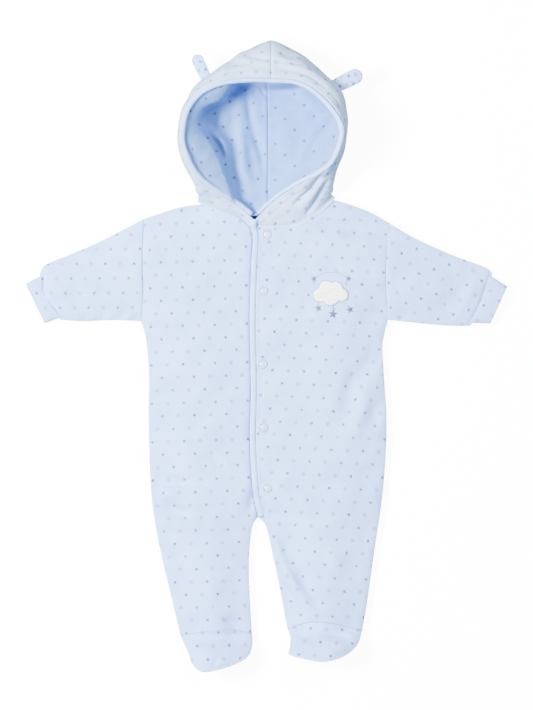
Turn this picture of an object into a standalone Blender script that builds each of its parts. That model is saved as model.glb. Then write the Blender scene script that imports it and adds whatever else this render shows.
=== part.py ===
"""A baby's hooded snowsuit laid flat on its back, in metres once built.

X runs across the chest to the wearer's left, Y towards the head, Z up from the surface it lies on.
The tables are in millimetres. Each panel is a padded wall with a rounded outer edge.
"""

import math

import bmesh
import bpy
import numpy as np
from mathutils import Vector
from mathutils.geometry import delaunay_2d_cdt

MM = 0.001
SEAM_GAP = 0.3  # between pieces that are sewn together
BODY_HEIGHT = 14.0  # of the two panels that lie on each other
SEAM_LEVEL = 6.5  # height of the side seams
HOLLOW = 3.4  # left between front and back
EDGE_ROUND = 13.0  # width over which the outline rolls over
UNDER_ROUND = 7.0  # the same on the underside
EDGE_BLUNT = 0.6  # how far outside the outline the rolls would meet
OUTLINE_STEP = 12.0  # spacing of the points along the seams
FRONT_STEP = 19.0  # spacing of the points inside a front
BACK_STEP = 27.0  # spacing of the points inside the back
FINE_STEP = 4.0  # spacing of the points that a line is measured by
FRONT_RINGS = (1.4, 4.6, 10.0)  # distances of the rows of points beside an outline
BACK_RINGS = (1.6, 6.0)
FOOT_RINGS = (1.2, 4.0, 8.0)
SOLE_RINGS = (1.4, 5.0)

# Outline of the garment, each edge from the neck outwards, (x, y)
SHOULDER_RIGHT = [(-75.8, 165.6), (-94.4, 163), (-116.3, 156.2), (-134.2, 150.4)]
SLEEVE_TOP_RIGHT = [(-134.2, 150.4), (-161.7, 136.1), (-190.3, 121.8), (-220.7, 109.1), (-244.2, 99), (-249.3, 90)]
SLEEVE_HEM_RIGHT = [(-249.3, 90), (-248, 68), (-238, 52), (-226.1, 38.5)]
SLEEVE_UNDER_RIGHT = [(-226.1, 38.5), (-200, 37.2), (-170.2, 38.4), (-138.1, 37.2)]
ARMHOLE_RIGHT = [(-134.2, 150.4), (-136.4, 115.5), (-135.6, 71.5), (-138.1, 37.2)]
SIDE_RIGHT = [(-138.1, 37.2), (-132.6, 16.5), (-129.4, -27.5), (-130, -71.5), (-127.1, -150.7),
              (-119.4, -203.5), (-107.3, -256.3), (-94.9, -308.6)]
INSIDE_LEG_RIGHT = [(-9.4, -178.6), (-15.5, -189), (-18.6, -214), (-19.2, -247.5), (-16, -306.6)]
SHOULDER_LEFT = [(75.9, 170.5), (90.8, 166.1), (114.5, 157.1), (135.2, 145.2)]
SLEEVE_TOP_LEFT = [(135.2, 145.2), (163.4, 128.7), (204.1, 110.3), (240, 97), (249, 90.5)]
SLEEVE_HEM_LEFT = [(249, 90.5), (244.6, 75.9), (238.6, 59.4), (231.4, 43.1), (224.3, 31.9)]
SLEEVE_UNDER_LEFT = [(224.3, 31.9), (200, 32.2), (170, 34.8), (133.7, 38.5)]
ARMHOLE_LEFT = [(135.2, 145.2), (132.6, 120.5), (130.8, 79.8), (133.7, 38.5)]
SIDE_LEFT = [(133.7, 38.5), (128, 12), (129.2, -18.7), (132.4, -80), (128.2, -150.7),
             (119.4, -212.3), (110.6, -273.9), (105.4, -303.2)]
INSIDE_LEG_LEFT = [(-9.4, -178.6), (-1, -188), (5, -212.3), (13, -249), (23.1, -301.9)]
NECK_RIGHT = [(-75.8, 165.6), (-56.7, 160.6), (-33.6, 152.9), (-18.2, 140.5)]
NECK_LEFT = [(-17.6, 140.5), (-3.4, 140.8), (21.1, 140.8), (40.8, 144.1), (65.5, 160.6), (75.9, 170.5)]
BACK_NECK = [(-75.8, 165.6), (-40, 167), (0, 165.6), (40, 167), (75.9, 170.5)]
FRONT_EDGE = [(-17.6, 140.5), (-15.2, 128), (-17, 100), (-18.8, 40), (-17.4, -35), (-18.6, -93.5),
              (-15.2, -149.6), (-9.4, -178.6)]
FOOT_RIGHT = [(-94.9, -308.6), (-92.1, -315), (-86.5, -326), (-81.5, -339), (-71, -347.2), (-57, -346),
              (-36, -340), (-20.5, -331.5), (-15.4, -319), (-16, -306.6)]
ANKLE_RIGHT = [(-94.9, -308.6), (-64, -304.2), (-40, -301.6), (-16, -306.6)]
FOOT_LEFT = [(23.1, -301.9), (26, -310), (25.6, -322), (24.5, -328.5), (40.7, -333.2), (60, -336.4), (76, -334),
             (91, -327), (101, -317), (105.4, -303.2)]
ANKLE_LEFT = [(23.1, -301.9), (45, -294.6), (68, -294.6), (105.4, -303.2)]

BAND_WIDTH = 6.6  # binding of the left front's edge
UNDERLAP = 24.0  # of the right front, below the left one
UNDERLAP_WALL = 2.6
UNDERLAP_END = -150.0  # above the crotch

# Feet rise towards the toes: side, ankle y, toe y, rise of the seam, thickness above and below the seam
FEET = {
    "right": dict(ankle=-306, toe=-347, rise=34.0, above=13.5, below=11.5),
    "left": dict(ankle=-299, toe=-336, rise=32.0, above=13.5, below=11.5),
}

# Large soft folds of the top, (x1, y1, x2, y2, width, height)
FOLDS = [
    (13, -203, 40, -276, 9, 3.0),  # ridge down the left leg's inner half
    (5, -214, 30, -290, 7, -1.6),  # hollow inside it
    (-128, 140, -131, 45, 5, -1.6),  # armhole seams pull the cloth down
    (128, 136, 127, 45, 5, -1.6),
    (-112, -60, -96, -180, 16, 1.4),  # slack in the hips
    (112, -70, 96, -190, 16, 1.4),
    (-232, 92, -214, 50, 6, -1.5),  # pucker above the cuffs
    (232, 88, 212, 44, 6, -1.5),
    (-190, 60, -150, 48, 9, 1.3),  # slack under the arms
    (190, 56, 148, 48, 9, 1.3),
]

SLEEVE_STATIONS = 13  # from the armhole to the cuff
SLEEVE_ACROSS = 11
SLEEVE_EDGE = 6.0  # thickness of the folded edges of a sleeve
SLEEVE_BLUNT = 0.6

# Wrist ends of the cuffs, (x, y) of the upper and the lower corner
WRIST_RIGHT = [(-265.4, 78.5), (-244.4, 34.8)]
WRIST_LEFT = [(265.2, 75.5), (246.5, 34.5)]
CUFF_STATIONS = 4
CUFF_ACROSS = 9
CUFF_HEIGHT = 12.0
CUFF_WALL = 3.4
CUFF_INSET = 0.05  # share of the hem left free at each end
CUFF_CLEAR = 0.9  # from the hem

# Press studs, (x, y)
SNAPS = [(-0.1, 132.7), (-4.1, 70.4), (-5, -9.9), (-4.1, -79.5), (0.6, -146.3)]
SNAP_RADIUS = 5.4
SNAP_HEIGHT = 1.9
SNAP_SIDES = 14
SNAP_PROFILE = [(0.0, 1.0), (0.45, 0.92), (0.62, 0.62), (0.8, 1.0), (0.95, 0.7), (1.0, 0.25), (0.94, 0.0)]

HOOD_CENTRE = 5.0  # the centre seam lies a little to the left
HOOD_SEAM = 0.4
HOOD_SEAM_END = 165.0
HOOD_WALL = 4.0
LINING_WALL = 1.8
HOOD_TURNS = 12  # points from the rim to the seam
UNDER_SHARE = 0.55  # where a line turns under the hood, as a share of the way from its turn to its foot
UNDER_RISE = 0.12  # height there, as a share of the turn's height
THIN_START = 0.56  # share of the rows after which the neck thins, and the share over which it does
THIN_LENGTH = 0.16
THINNED = 0.62  # share of the wall that is lost at the shoulder
HOOD_ROWS_BETWEEN = 2  # rows for each line of the tables
NORMAL_SMOOTHING = 3  # rounds, so that the wall does not cross itself in tight turns
# Lines of the hood from its rim over the outside to the seam, (rim, bulge, turn, foot), each (x, y, z)
HOOD_LEFT_LINES = [
    ((5.2, 303.2, 60), (5.2, 331, 47), (5.2, 347.4, 21), (5.2, 314, 0)),
    ((31, 301.4, 62), (34, 322, 49), (37.5, 331, 21), (5.2, 296, 0)),
    ((50.1, 293.2, 64), (58, 307, 50), (62, 308.5, 21), (5.2, 279, 0)),
    ((68.8, 276.7, 66), (80, 288, 50), (80, 286, 20), (5.2, 261, 0)),
    ((81.6, 259, 67), (88, 264, 48), (84, 260, 17), (5.2, 243, 0)),
    ((85.6, 243, 67), (89, 243, 44), (82, 240, 14), (5.2, 225, 0)),
    ((82.5, 227.7, 64), (86, 226, 40), (77, 222, 12), (5.2, 206, 0)),
    ((73.2, 208, 58), (79, 206, 35), (68, 202, 11), (5.2, 186, 0)),
    ((58.6, 196.3, 49), (74, 192, 30), (68, 186, 9), (5.2, 167, 0)),
    ((44, 189.5, 42), (66, 186, 33), (73, 180, 12), (40, 168.5, 0.2)),
    ((31, 183, 35), (54, 179, 31), (69, 177.5, 19), (75.2, 174.4, 6.5)),
    ((16, 174, 29), (36, 165, 28), (49, 159.5, 22), (55.4, 157.2, 14.4)),
    ((0.6, 161.5, 24), (14, 153.5, 24), (24, 147, 20), (27, 143.6, 14.4)),
    ((-12.6, 147.6, 19.5), (-12.3, 145.8, 18.5), (-12, 144.2, 17), (-11.8, 142.9, 14.6)),
]
HOOD_RIGHT_LINES = [
    ((4.8, 303.2, 60), (4.8, 331, 47), (4.8, 347.4, 21), (4.8, 314, 0)),
    ((-22, 303.6, 62), (-23, 323, 49), (-27, 332.5, 21), (4.8, 296, 0)),
    ((-50, 300.1, 64), (-54, 309.5, 49), (-56, 310, 21), (4.8, 279, 0)),
    ((-72, 290, 66), (-76, 295, 48), (-75, 292.5, 20), (4.8, 261, 0)),
    ((-87.5, 272.5, 67), (-90.5, 274.5, 46), (-85, 268, 16), (4.8, 243, 0)),
    ((-94.2, 251, 67), (-96.3, 250, 46), (-83, 245, 13), (4.8, 225, 0)),
    ((-94.4, 229.9, 64), (-96.2, 228, 42), (-77, 226, 11), (4.8, 206, 0)),
    ((-86.4, 208, 58), (-89, 206, 38), (-66, 205, 10), (4.8, 186, 0)),
    ((-75.5, 192, 49), (-79.5, 188, 32), (-62, 188, 9), (4.8, 167, 0)),
    ((-64.4, 182.8, 43), (-76.5, 178.5, 32), (-70, 176.5, 11), (-38, 168.3, 0.2)),
    ((-52.5, 175.8, 36), (-67, 174, 29), (-74.5, 172.5, 16), (-76, 169.6, 6.5)),
    ((-38, 166.8, 29), (-47, 164.5, 27), (-54, 163.9, 21), (-55.8, 163.0, 14.4)),
    ((-25, 158, 24), (-29, 156.9, 23), (-32, 156.4, 19), (-32.8, 155.7, 14.4)),
    ((-14, 147.6, 19.5), (-15, 146.4, 18.5), (-16, 145.4, 17), (-16.6, 144.2, 14.6)),
]
BINDING_WIDTH = 7.2
BINDING_HEIGHT = 4.4
BINDING_SIDES = 8

# Ears: middle of the base, tip, height, width, thickness
EARS = {
    "right": dict(base=(-66.8, 306.6), tip=(-77.4, 328.2), level=32.0, width=17.0, thick=7.0),
    "left": dict(base=(78.8, 297.1), tip=(104.0, 309.5), level=32.0, width=19.0, thick=7.0),
}
EAR_STATIONS = 9
EAR_RING = 14

CLOTH_COLOUR = (0.70, 0.77, 0.88)
LINING_COLOUR = (0.62, 0.71, 0.86)
TRIM_COLOUR = (0.66, 0.74, 0.87)
SNAP_COLOUR = (0.80, 0.84, 0.90)


def remove_everything():
    for thing in list(bpy.data.objects):
        bpy.data.objects.remove(thing, do_unlink=True)


def material(name, colour, roughness):
    made = bpy.data.materials.new(name)
    made.use_nodes = True
    shader = made.node_tree.nodes["Principled BSDF"]
    shader.inputs["Base Color"].default_value = (*colour, 1.0)
    shader.inputs["Roughness"].default_value = roughness
    shader.inputs["Metallic"].default_value = 0.0
    return made


def add_solid(name, points, faces, finish):
    """Makes one closed object from points in millimetres."""
    mesh = bpy.data.meshes.new(name)
    mesh.from_pydata([tuple(float(c) * MM for c in p) for p in points], [], faces)
    work = bmesh.new()
    work.from_mesh(mesh)
    bmesh.ops.recalc_face_normals(work, faces=work.faces)
    if work.calc_volume(signed=True) < 0:
        bmesh.ops.reverse_faces(work, faces=work.faces)
    bmesh.ops.triangulate(work, faces=work.faces)
    work.to_mesh(mesh)
    work.free()
    mesh.shade_smooth()
    mesh.materials.append(finish)
    thing = bpy.data.objects.new(name, mesh)
    bpy.context.scene.collection.objects.link(thing)
    return thing


def smooth_line(points, step):
    """Catmull-Rom curve through the points, with a point about every step."""
    knots = np.array(points, float)
    ends = np.vstack([2 * knots[0] - knots[1], knots, 2 * knots[-1] - knots[-2]])
    made = []
    for i in range(1, len(ends) - 2):
        a, b, c, d = ends[i - 1], ends[i], ends[i + 1], ends[i + 2]
        count = max(1, int(round(np.linalg.norm(c - b) / step)))
        for t in np.arange(count) / count:
            made.append(0.5 * (2 * b + (c - a) * t + (2 * a - 5 * b + 4 * c - d) * t**2
                               + (3 * b - a - 3 * c + d) * t**3))
    made.append(knots[-1])
    return np.array(made)


def join_lines(*lines):
    """One closed outline from edges that follow each other."""
    made = [line[:-1] for line in lines]
    return np.vstack(made)


def edge_distance(points, outline):
    """Distance of each point to a closed outline."""
    a = outline[None, :, :]
    b = np.roll(outline, -1, axis=0)[None, :, :]
    p = points[:, None, :2]
    run = b - a
    length = np.maximum((run**2).sum(2), 1e-9)
    t = np.clip(((p - a) * run).sum(2) / length, 0, 1)
    near = a + t[..., None] * run
    return np.sqrt(((p - near) ** 2).sum(2)).min(1)


def inside(points, outline):
    """True for each point within a closed outline."""
    x, y = points[:, 0][:, None], points[:, 1][:, None]
    x1, y1 = outline[:, 0][None], outline[:, 1][None]
    x2, y2 = np.roll(outline, -1, axis=0).T
    crosses = (y1 > y) != (y2[None] > y)
    slope = np.where(y2 == y1[0], 1e-9, y2 - y1[0])
    at = x1 + (y - y1) * (x2[None] - x1) / slope[None]
    return (crosses & (x < at)).sum(1) % 2 == 1


def inset_line(outline, amount):
    """A closed outline moved inwards along its normals."""
    before, after = np.roll(outline, 1, axis=0), np.roll(outline, -1, axis=0)
    run = after - before
    run /= np.linalg.norm(run, axis=1)[:, None]
    normal = np.stack([-run[:, 1], run[:, 0]], 1)
    shifted = outline + normal * amount
    if not inside(shifted[:1], outline)[0]:
        shifted = outline - normal * amount
    return shifted


def ease(t):
    t = np.clip(t, 0, 1)
    return t * t * (3 - 2 * t)


def open_edges(points):
    """Distance of each point to the garment's rolled edges: neck and sleeve ends are cut, not rolled."""
    edges = [
        SHOULDER_RIGHT, SLEEVE_TOP_RIGHT, SLEEVE_UNDER_RIGHT, SIDE_RIGHT, FOOT_RIGHT, INSIDE_LEG_RIGHT,
        INSIDE_LEG_LEFT, FOOT_LEFT, SIDE_LEFT, SLEEVE_UNDER_LEFT, SLEEVE_TOP_LEFT, SHOULDER_LEFT,
    ]
    nearest = np.full(len(points), 1e9)
    for edge in edges:
        line = smooth_line(edge, 6.0)
        a, b = line[:-1][None], line[1:][None]
        p = points[:, None, :2]
        run = b - a
        t = np.clip(((p - a) * run).sum(2) / np.maximum((run**2).sum(2), 1e-9), 0, 1)
        gap = np.sqrt((((a + t[..., None] * run) - p) ** 2).sum(2)).min(1)
        nearest = np.minimum(nearest, gap)
    return nearest


def foot_share(points):
    """For each point: how far up the foot it is, from 0 at the ankle to 1 at the toes, and its foot's sizes."""
    x, y = points[:, 0], points[:, 1]
    rise = np.zeros(len(points))
    above = np.full(len(points), BODY_HEIGHT - SEAM_LEVEL)
    below = np.full(len(points), SEAM_LEVEL)
    for side, sign in (("right", -1), ("left", 1)):
        foot = FEET[side]
        mine = (x * sign > -8) if sign > 0 else (x < -8)
        t = np.clip((foot["ankle"] - y) / (foot["ankle"] - foot["toe"]), 0, 1)
        climb = t * t * (1.75 - 0.75 * t)
        rise = np.where(mine, foot["rise"] * climb, rise)
        above = np.where(mine, above + (foot["above"] - above) * ease(t * 1.6), above)
        below = np.where(mine, below + (foot["below"] - below) * ease(t * 1.6), below)
    return rise, above, below


def fold_height(points):
    """Sum of the large folds at each point."""
    total = np.zeros(len(points))
    for x1, y1, x2, y2, width, height in FOLDS:
        a, b = np.array((x1, y1)), np.array((x2, y2))
        run = b - a
        t = np.clip(((points[:, :2] - a) @ run) / (run @ run), 0, 1)
        gap = np.linalg.norm(points[:, :2] - (a + t[:, None] * run), axis=1)
        total += height * np.exp(-((gap / width) ** 2)) * (0.55 + 0.45 * np.sin(math.pi * np.clip(t, 0.02, 0.98)))
    return total


def roll(distance, width):
    """Quarter of an ellipse: small on the outline, 1 at the width and beyond."""
    t = 1 - np.clip((distance + EDGE_BLUNT) / width, 0, 1)
    return np.sqrt(np.clip(1 - t * t, 0, 1))


def seam_level(points):
    rise, _, _ = foot_share(points)
    return SEAM_LEVEL + rise


def top_level(points):
    distance = open_edges(points)
    rise, above, _ = foot_share(points)
    folds = fold_height(points) * np.clip(distance / EDGE_ROUND, 0, 1)
    return SEAM_LEVEL + rise + above * roll(distance, EDGE_ROUND) + folds


def under_level(points):
    distance = open_edges(points)
    rise, _, below = foot_share(points)
    return np.maximum(SEAM_LEVEL + rise - below * roll(distance, UNDER_ROUND), 0.0)


def hollow_half(points):
    """Half of the space between front and back at each point."""
    share = np.clip((open_edges(points) - 3.0) / 5.0, 0, 1)
    return SEAM_GAP / 2 + (HOLLOW - SEAM_GAP) / 2 * share


def panel_points(outline, step, rings):
    """Points of a panel: its outline, rings just inside it and an even field."""
    made = [outline]
    for amount in rings:
        ring = inset_line(outline, amount)
        keep = inside(ring, outline) & (edge_distance(ring, outline) > amount * 0.93)
        made.append(ring[keep])
    low, high = outline.min(0), outline.max(0)
    rows = int((high[1] - low[1]) / (step * 0.87)) + 1
    field = []
    for row in range(rows + 1):
        y = low[1] + row * step * 0.87
        shift = (row % 2) * step / 2
        for x in np.arange(low[0] + shift, high[0], step):
            field.append((x, y))
    field = np.array(field)
    margin = (rings[-1] if rings else 0) + step * 0.55
    keep = inside(field, outline)
    field = field[keep]
    field = field[edge_distance(field, outline) > margin]
    made.append(field)
    return np.vstack(made)


def triangles(outline, points):
    """Triangles over the points, within the outline whose points come first."""
    edges = [(i, (i + 1) % len(outline)) for i in range(len(outline))]
    result = delaunay_2d_cdt([Vector((float(x), float(y))) for x, y in points], edges,
                             [list(range(len(outline)))], 1, 1e-6)
    where, faces = result[0], result[2]
    return np.array([(v.x, v.y) for v in where]), [tuple(f) for f in faces]


def wall_between(name, outline, step, rings, low, high, finish):
    """A wall over an outline, between two heights that are worked out at each point."""
    points, faces = triangles(outline, panel_points(outline, step, rings))
    bottom, top = low(points), high(points)
    top = np.maximum(top, bottom + 0.4)
    count = len(points)
    solid = [(x, y, z) for (x, y), z in zip(points, top)] + [(x, y, z) for (x, y), z in zip(points, bottom)]
    shell = [tuple(f) for f in faces] + [tuple(i + count for i in reversed(f)) for f in faces]
    uses = {}
    for face in faces:
        for a, b in zip(face, face[1:] + face[:1]):
            uses[(a, b)] = True
    for a, b in uses:
        if (b, a) not in uses:
            shell.append((b, a, a + count, b + count))
    return add_solid(name, solid, shell, finish)


def offset_line(line, amount):
    """An open line moved to its left."""
    run = np.gradient(line, axis=0)
    run /= np.linalg.norm(run, axis=1)[:, None]
    return line + np.stack([-run[:, 1], run[:, 0]], 1) * amount


def front_level(points):
    return seam_level(points) + hollow_half(points)


def back_level(points):
    return seam_level(points) - hollow_half(points)


def make_fronts(cloth, trim):
    step = OUTLINE_STEP
    edge = smooth_line(FRONT_EDGE, step)
    band_in = offset_line(edge, BAND_WIDTH)
    edge_in = offset_line(edge, BAND_WIDTH + SEAM_GAP)
    neck = smooth_line(NECK_LEFT, step)
    neck = neck[neck[:, 0] > edge_in[0, 0] + 3]
    leg = smooth_line(INSIDE_LEG_LEFT, step)
    leg = leg[leg[:, 0] > edge_in[-1, 0] + 2]
    outline = np.vstack([
        edge_in, leg, smooth_line(ANKLE_LEFT, step)[1:], smooth_line(SIDE_LEFT, step)[::-1][1:],
        smooth_line(ARMHOLE_LEFT, step)[::-1][1:], smooth_line(SHOULDER_LEFT, step)[::-1][1:], neck[::-1][1:],
    ])
    wall_between("front_left", outline, FRONT_STEP, FRONT_RINGS, front_level, top_level, cloth)
    band = np.vstack([edge, band_in[::-1]])
    wall_between("front_band", band, 40.0, (1.6,), front_level, band_level, trim)

    seam = offset_line(edge, -SEAM_GAP)
    neck = smooth_line(NECK_RIGHT, step)
    neck = neck[neck[:, 0] < seam[0, 0] - 3]
    leg = smooth_line(INSIDE_LEG_RIGHT, step)
    leg = leg[leg[:, 0] < seam[-1, 0] - 1]
    outline = np.vstack([
        seam[::-1], neck[::-1], smooth_line(SHOULDER_RIGHT, step)[1:], smooth_line(ARMHOLE_RIGHT, step)[1:],
        smooth_line(SIDE_RIGHT, step)[1:], smooth_line(ANKLE_RIGHT, step)[1:], leg[::-1][1:],
    ])
    wall_between("front_right", outline, FRONT_STEP, FRONT_RINGS, front_level, top_level, cloth)

    seam = seam[(seam[:, 1] > UNDERLAP_END) & (seam[:, 1] < edge[0, 1] - 4)]
    lap = np.vstack([seam, offset_line(seam, UNDERLAP)[::-1]])
    low, high = SEAM_LEVEL - UNDERLAP_WALL / 2, SEAM_LEVEL + UNDERLAP_WALL / 2
    wall_between("underlap", lap, 60.0, (), lambda p: np.full(len(p), low), lambda p: np.full(len(p), high), cloth)


def band_level(points):
    """The band stands a little above the front and is rounded along both edges."""
    edge = smooth_line(FRONT_EDGE, 6.0)
    middle = offset_line(edge, BAND_WIDTH / 2)
    gap = np.sqrt(((points[:, None, :] - middle[None]) ** 2).sum(2)).min(1)
    crown = np.sqrt(np.clip(1 - (gap / (BAND_WIDTH * 0.62)) ** 2, 0.02, 1))
    return BODY_HEIGHT - 0.4 + 1.2 * crown * np.clip(open_edges(points) / 6 + 0.2, 0, 1)


def make_back(cloth):
    edges = [
        SHOULDER_RIGHT, ARMHOLE_RIGHT, SIDE_RIGHT, ANKLE_RIGHT, INSIDE_LEG_RIGHT[::-1], INSIDE_LEG_LEFT,
        ANKLE_LEFT, SIDE_LEFT[::-1], ARMHOLE_LEFT[::-1], SHOULDER_LEFT[::-1], BACK_NECK[::-1],
    ]
    outline = join_lines(*[smooth_line(edge, OUTLINE_STEP) for edge in edges])
    wall_between("back", outline, BACK_STEP, BACK_RINGS, under_level, back_level, cloth)


def ring_wall(name, stations, finish):
    """A tube with open ends from stations, each (outer ring, inner ring) with as many points."""
    points, faces = [], []
    size = len(stations[0][0])
    for outer, inner in stations:
        points += [tuple(p) for p in outer] + [tuple(p) for p in inner]
    for s in range(len(stations) - 1):
        a, b = s * 2 * size, (s + 1) * 2 * size
        for k in range(size):
            n = (k + 1) % size
            faces.append((a + k, a + n, b + n, b + k))
            faces.append((a + size + n, a + size + k, b + size + k, b + size + n))
    last = (len(stations) - 1) * 2 * size
    for k in range(size):
        n = (k + 1) % size
        faces.append((k, size + k, size + n, n))
        faces.append((last + n, last + size + n, last + size + k, last + k))
    return add_solid(name, points, faces, finish)


def even_line(line, count):
    """The same line with evenly spaced points."""
    steps = np.r_[0, np.cumsum(np.linalg.norm(np.diff(line, axis=0), axis=1))]
    at = np.linspace(0, steps[-1], count)
    return np.stack([np.interp(at, steps, line[:, i]) for i in range(line.shape[1])], 1)


def make_sleeve(name, top_edge, under_edge, armhole, hem, side, cloth):
    """A tube from the armhole to the cuff, flattened, its two folded edges on the outline."""
    count, across = SLEEVE_STATIONS, SLEEVE_ACROSS
    upper = even_line(smooth_line(top_edge, FINE_STEP), count)
    lower = even_line(smooth_line(under_edge, FINE_STEP)[::-1], count)
    arm = even_line(smooth_line(armhole, FINE_STEP), across)
    end = even_line(smooth_line(hem, FINE_STEP), across)
    spread = 0.5 - 0.5 * np.cos(np.linspace(0, math.pi, across))
    chord_arm = arm[0] + spread[:, None] * (arm[-1] - arm[0])
    chord_end = end[0] + spread[:, None] * (end[-1] - end[0])
    bow_arm = np.array([np.interp(spread, np.linspace(0, 1, across), arm[:, i]) for i in (0, 1)]).T - chord_arm
    bow_end = np.array([np.interp(spread, np.linspace(0, 1, across), end[:, i]) for i in (0, 1)]).T - chord_end
    stations = []
    for k in range(count):
        t = k / (count - 1)
        row = upper[k] + spread[:, None] * (lower[k] - upper[k])
        row = row + bow_arm * (1 - t) + bow_end * t
        if k == 0:
            row = row + np.array((side * SEAM_GAP, 0))
        stations.append(sleeve_rings(row))
    return ring_wall(name, stations, cloth)


def sleeve_rings(row):
    top, under = top_level(row), under_level(row)
    top[0] = top[-1] = SEAM_LEVEL + SLEEVE_BLUNT
    under[0] = under[-1] = SEAM_LEVEL - SLEEVE_BLUNT
    outer = np.vstack([np.c_[row, top], np.c_[row[::-1], under[::-1]]])
    middle = (row[0] + row[-1]) / 2
    reach = np.linalg.norm(row[0] - row[-1]) / 2
    inner_row = middle + (row - middle) * (reach - SLEEVE_EDGE) / reach
    half = np.full(len(row), HOLLOW / 2)
    half[0] = half[-1] = 0.5
    inner = np.vstack([np.c_[inner_row, SEAM_LEVEL + half], np.c_[inner_row[::-1], (SEAM_LEVEL - half)[::-1]]])
    return outer, inner


def make_cuff(name, hem, wrist, trim):
    """A short flattened tube from the sleeve's end to the wrist."""
    across, count = CUFF_ACROSS, CUFF_STATIONS
    spread = 0.5 - 0.5 * np.cos(np.linspace(0, math.pi, across))
    end = even_line(smooth_line(hem, FINE_STEP), 41)
    start = np.stack([np.interp(CUFF_INSET + spread * (1 - 2 * CUFF_INSET), np.linspace(0, 1, 41), end[:, i])
                      for i in (0, 1)], 1)
    finish = np.array(wrist[0]) + spread[:, None] * (np.array(wrist[1]) - np.array(wrist[0]))
    outward = unit(finish.mean(0) - start.mean(0))
    dome = np.sqrt(np.clip(1 - (2 * spread - 1) ** 4, 0, 1))
    stations = []
    for t in np.linspace(0, 1, count):
        row = start + outward * CUFF_CLEAR + (finish - start - outward * CUFF_CLEAR) * t
        height = CUFF_HEIGHT / 2 * (1 - 0.12 * t)
        up = SEAM_LEVEL + 0.4 + (height - 0.4) * dome
        down = np.maximum(SEAM_LEVEL - 0.4 - (SEAM_LEVEL - 0.4) * dome, 0.0)
        outer = np.vstack([np.c_[row, up], np.c_[row[::-1], down[::-1]]])
        middle, reach = (row[0] + row[-1]) / 2, np.linalg.norm(row[0] - row[-1])
        inner_row = middle + (row - middle) * (1 - 2 * CUFF_WALL / reach)
        half = np.full(across, 1.5)
        half[0] = half[-1] = 0.4
        inner = np.vstack([np.c_[inner_row, SEAM_LEVEL + half], np.c_[inner_row[::-1], (SEAM_LEVEL - half)[::-1]]])
        stations.append((outer, inner))
    return ring_wall(name, stations, trim)


def make_foot(side, foot_edge, ankle, cloth):
    """Top and sole of one foot, which meet in a seam along the foot's outline."""
    toes = smooth_line(foot_edge, 8.0)
    seam = smooth_line(ankle, OUTLINE_STEP) + np.array((0, -SEAM_GAP))
    if np.linalg.norm(toes[0] - seam[0]) < np.linalg.norm(toes[-1] - seam[0]):
        seam = seam[::-1]
    outline = np.vstack([toes[1:-1], seam])
    wall_between(f"foot_top_{side}", outline, 10.0, FOOT_RINGS, front_level, top_level, cloth)
    wall_between(f"sole_{side}", outline, 12.0, SOLE_RINGS, under_level, back_level, cloth)


def hood_grid(lines, turns, between):
    """Points of one half of the hood's outside: rows along the rim, columns from the rim to the seam."""
    table = np.array(lines, float).reshape(len(lines), 12)
    rows = smooth_rows(table, between)
    grid = []
    for row in rows:
        rim, bulge, turn, foot = row.reshape(4, 3)
        under = turn * (1 - UNDER_SHARE) + foot * UNDER_SHARE
        under[2] = foot[2] + UNDER_RISE * max(turn[2] - foot[2], 0.0)
        path = smooth_line([rim, bulge, turn, under, foot], FINE_STEP)
        path[:, 2] = np.maximum(path[:, 2], 0.0)
        grid.append(even_line(path, turns))
    return np.array(grid)


def smooth_rows(table, between):
    made = []
    ends = np.vstack([2 * table[0] - table[1], table, 2 * table[-1] - table[-2]])
    for i in range(1, len(ends) - 2):
        a, b, c, d = ends[i - 1], ends[i], ends[i + 1], ends[i + 2]
        for t in np.arange(between) / between:
            made.append(0.5 * (2 * b + (c - a) * t + (2 * a - 5 * b + 4 * c - d) * t**2
                               + (3 * b - a - 3 * c + d) * t**3))
    made.append(table[-1])
    return np.array(made)


def grid_normals(grid, side):
    """Unit normals of a grid, pointing to the hood's inside."""
    along = np.gradient(grid, axis=0)
    down = np.gradient(grid, axis=1)
    normal = unit(np.cross(down, along) * side)
    for _ in range(NORMAL_SMOOTHING):
        padded = np.pad(normal, ((1, 1), (1, 1), (0, 0)), mode="edge")
        normal = unit(padded[:-2, 1:-1] + padded[2:, 1:-1] + padded[1:-1, :-2] + padded[1:-1, 2:] + 2 * normal)
    normal[0, :, 0] = 0
    normal[-1, :, 0] = 0
    normal[-2, :, 0] *= 0.5
    return unit(normal)


def unit(vectors):
    return vectors / np.maximum(np.linalg.norm(vectors, axis=-1), 1e-9)[..., None]


def neck_thinning(rows, columns):
    """Share of the full wall at each point: the cloth is pressed thin where it turns round the shoulder."""
    row = np.clip((np.arange(rows) / (rows - 1) - THIN_START) / THIN_LENGTH, 0, 1)[:, None]
    column = np.linspace(0, 1, columns)[None, :]
    return 1 - THINNED * ease(row) * ease(column * 1.5)


def grid_wall(name, near, far, finish):
    """A closed wall between two grids of the same size."""
    rows, columns = near.shape[:2]
    count = rows * columns
    points = list(near.reshape(-1, 3)) + list(far.reshape(-1, 3))

    def at(r, c):
        return r * columns + c

    faces = []
    for r in range(rows - 1):
        for c in range(columns - 1):
            faces.append((at(r, c), at(r, c + 1), at(r + 1, c + 1), at(r + 1, c)))
            faces.append((count + at(r, c), count + at(r + 1, c), count + at(r + 1, c + 1), count + at(r, c + 1)))
    rim = [at(0, c) for c in range(columns)] + [at(r, columns - 1) for r in range(1, rows)]
    rim += [at(rows - 1, c) for c in range(columns - 2, -1, -1)] + [at(r, 0) for r in range(rows - 2, 0, -1)]
    for a, b in zip(rim, rim[1:] + rim[:1]):
        faces.append((a, count + a, count + b, b))
    return add_solid(name, points, faces, finish)


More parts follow.
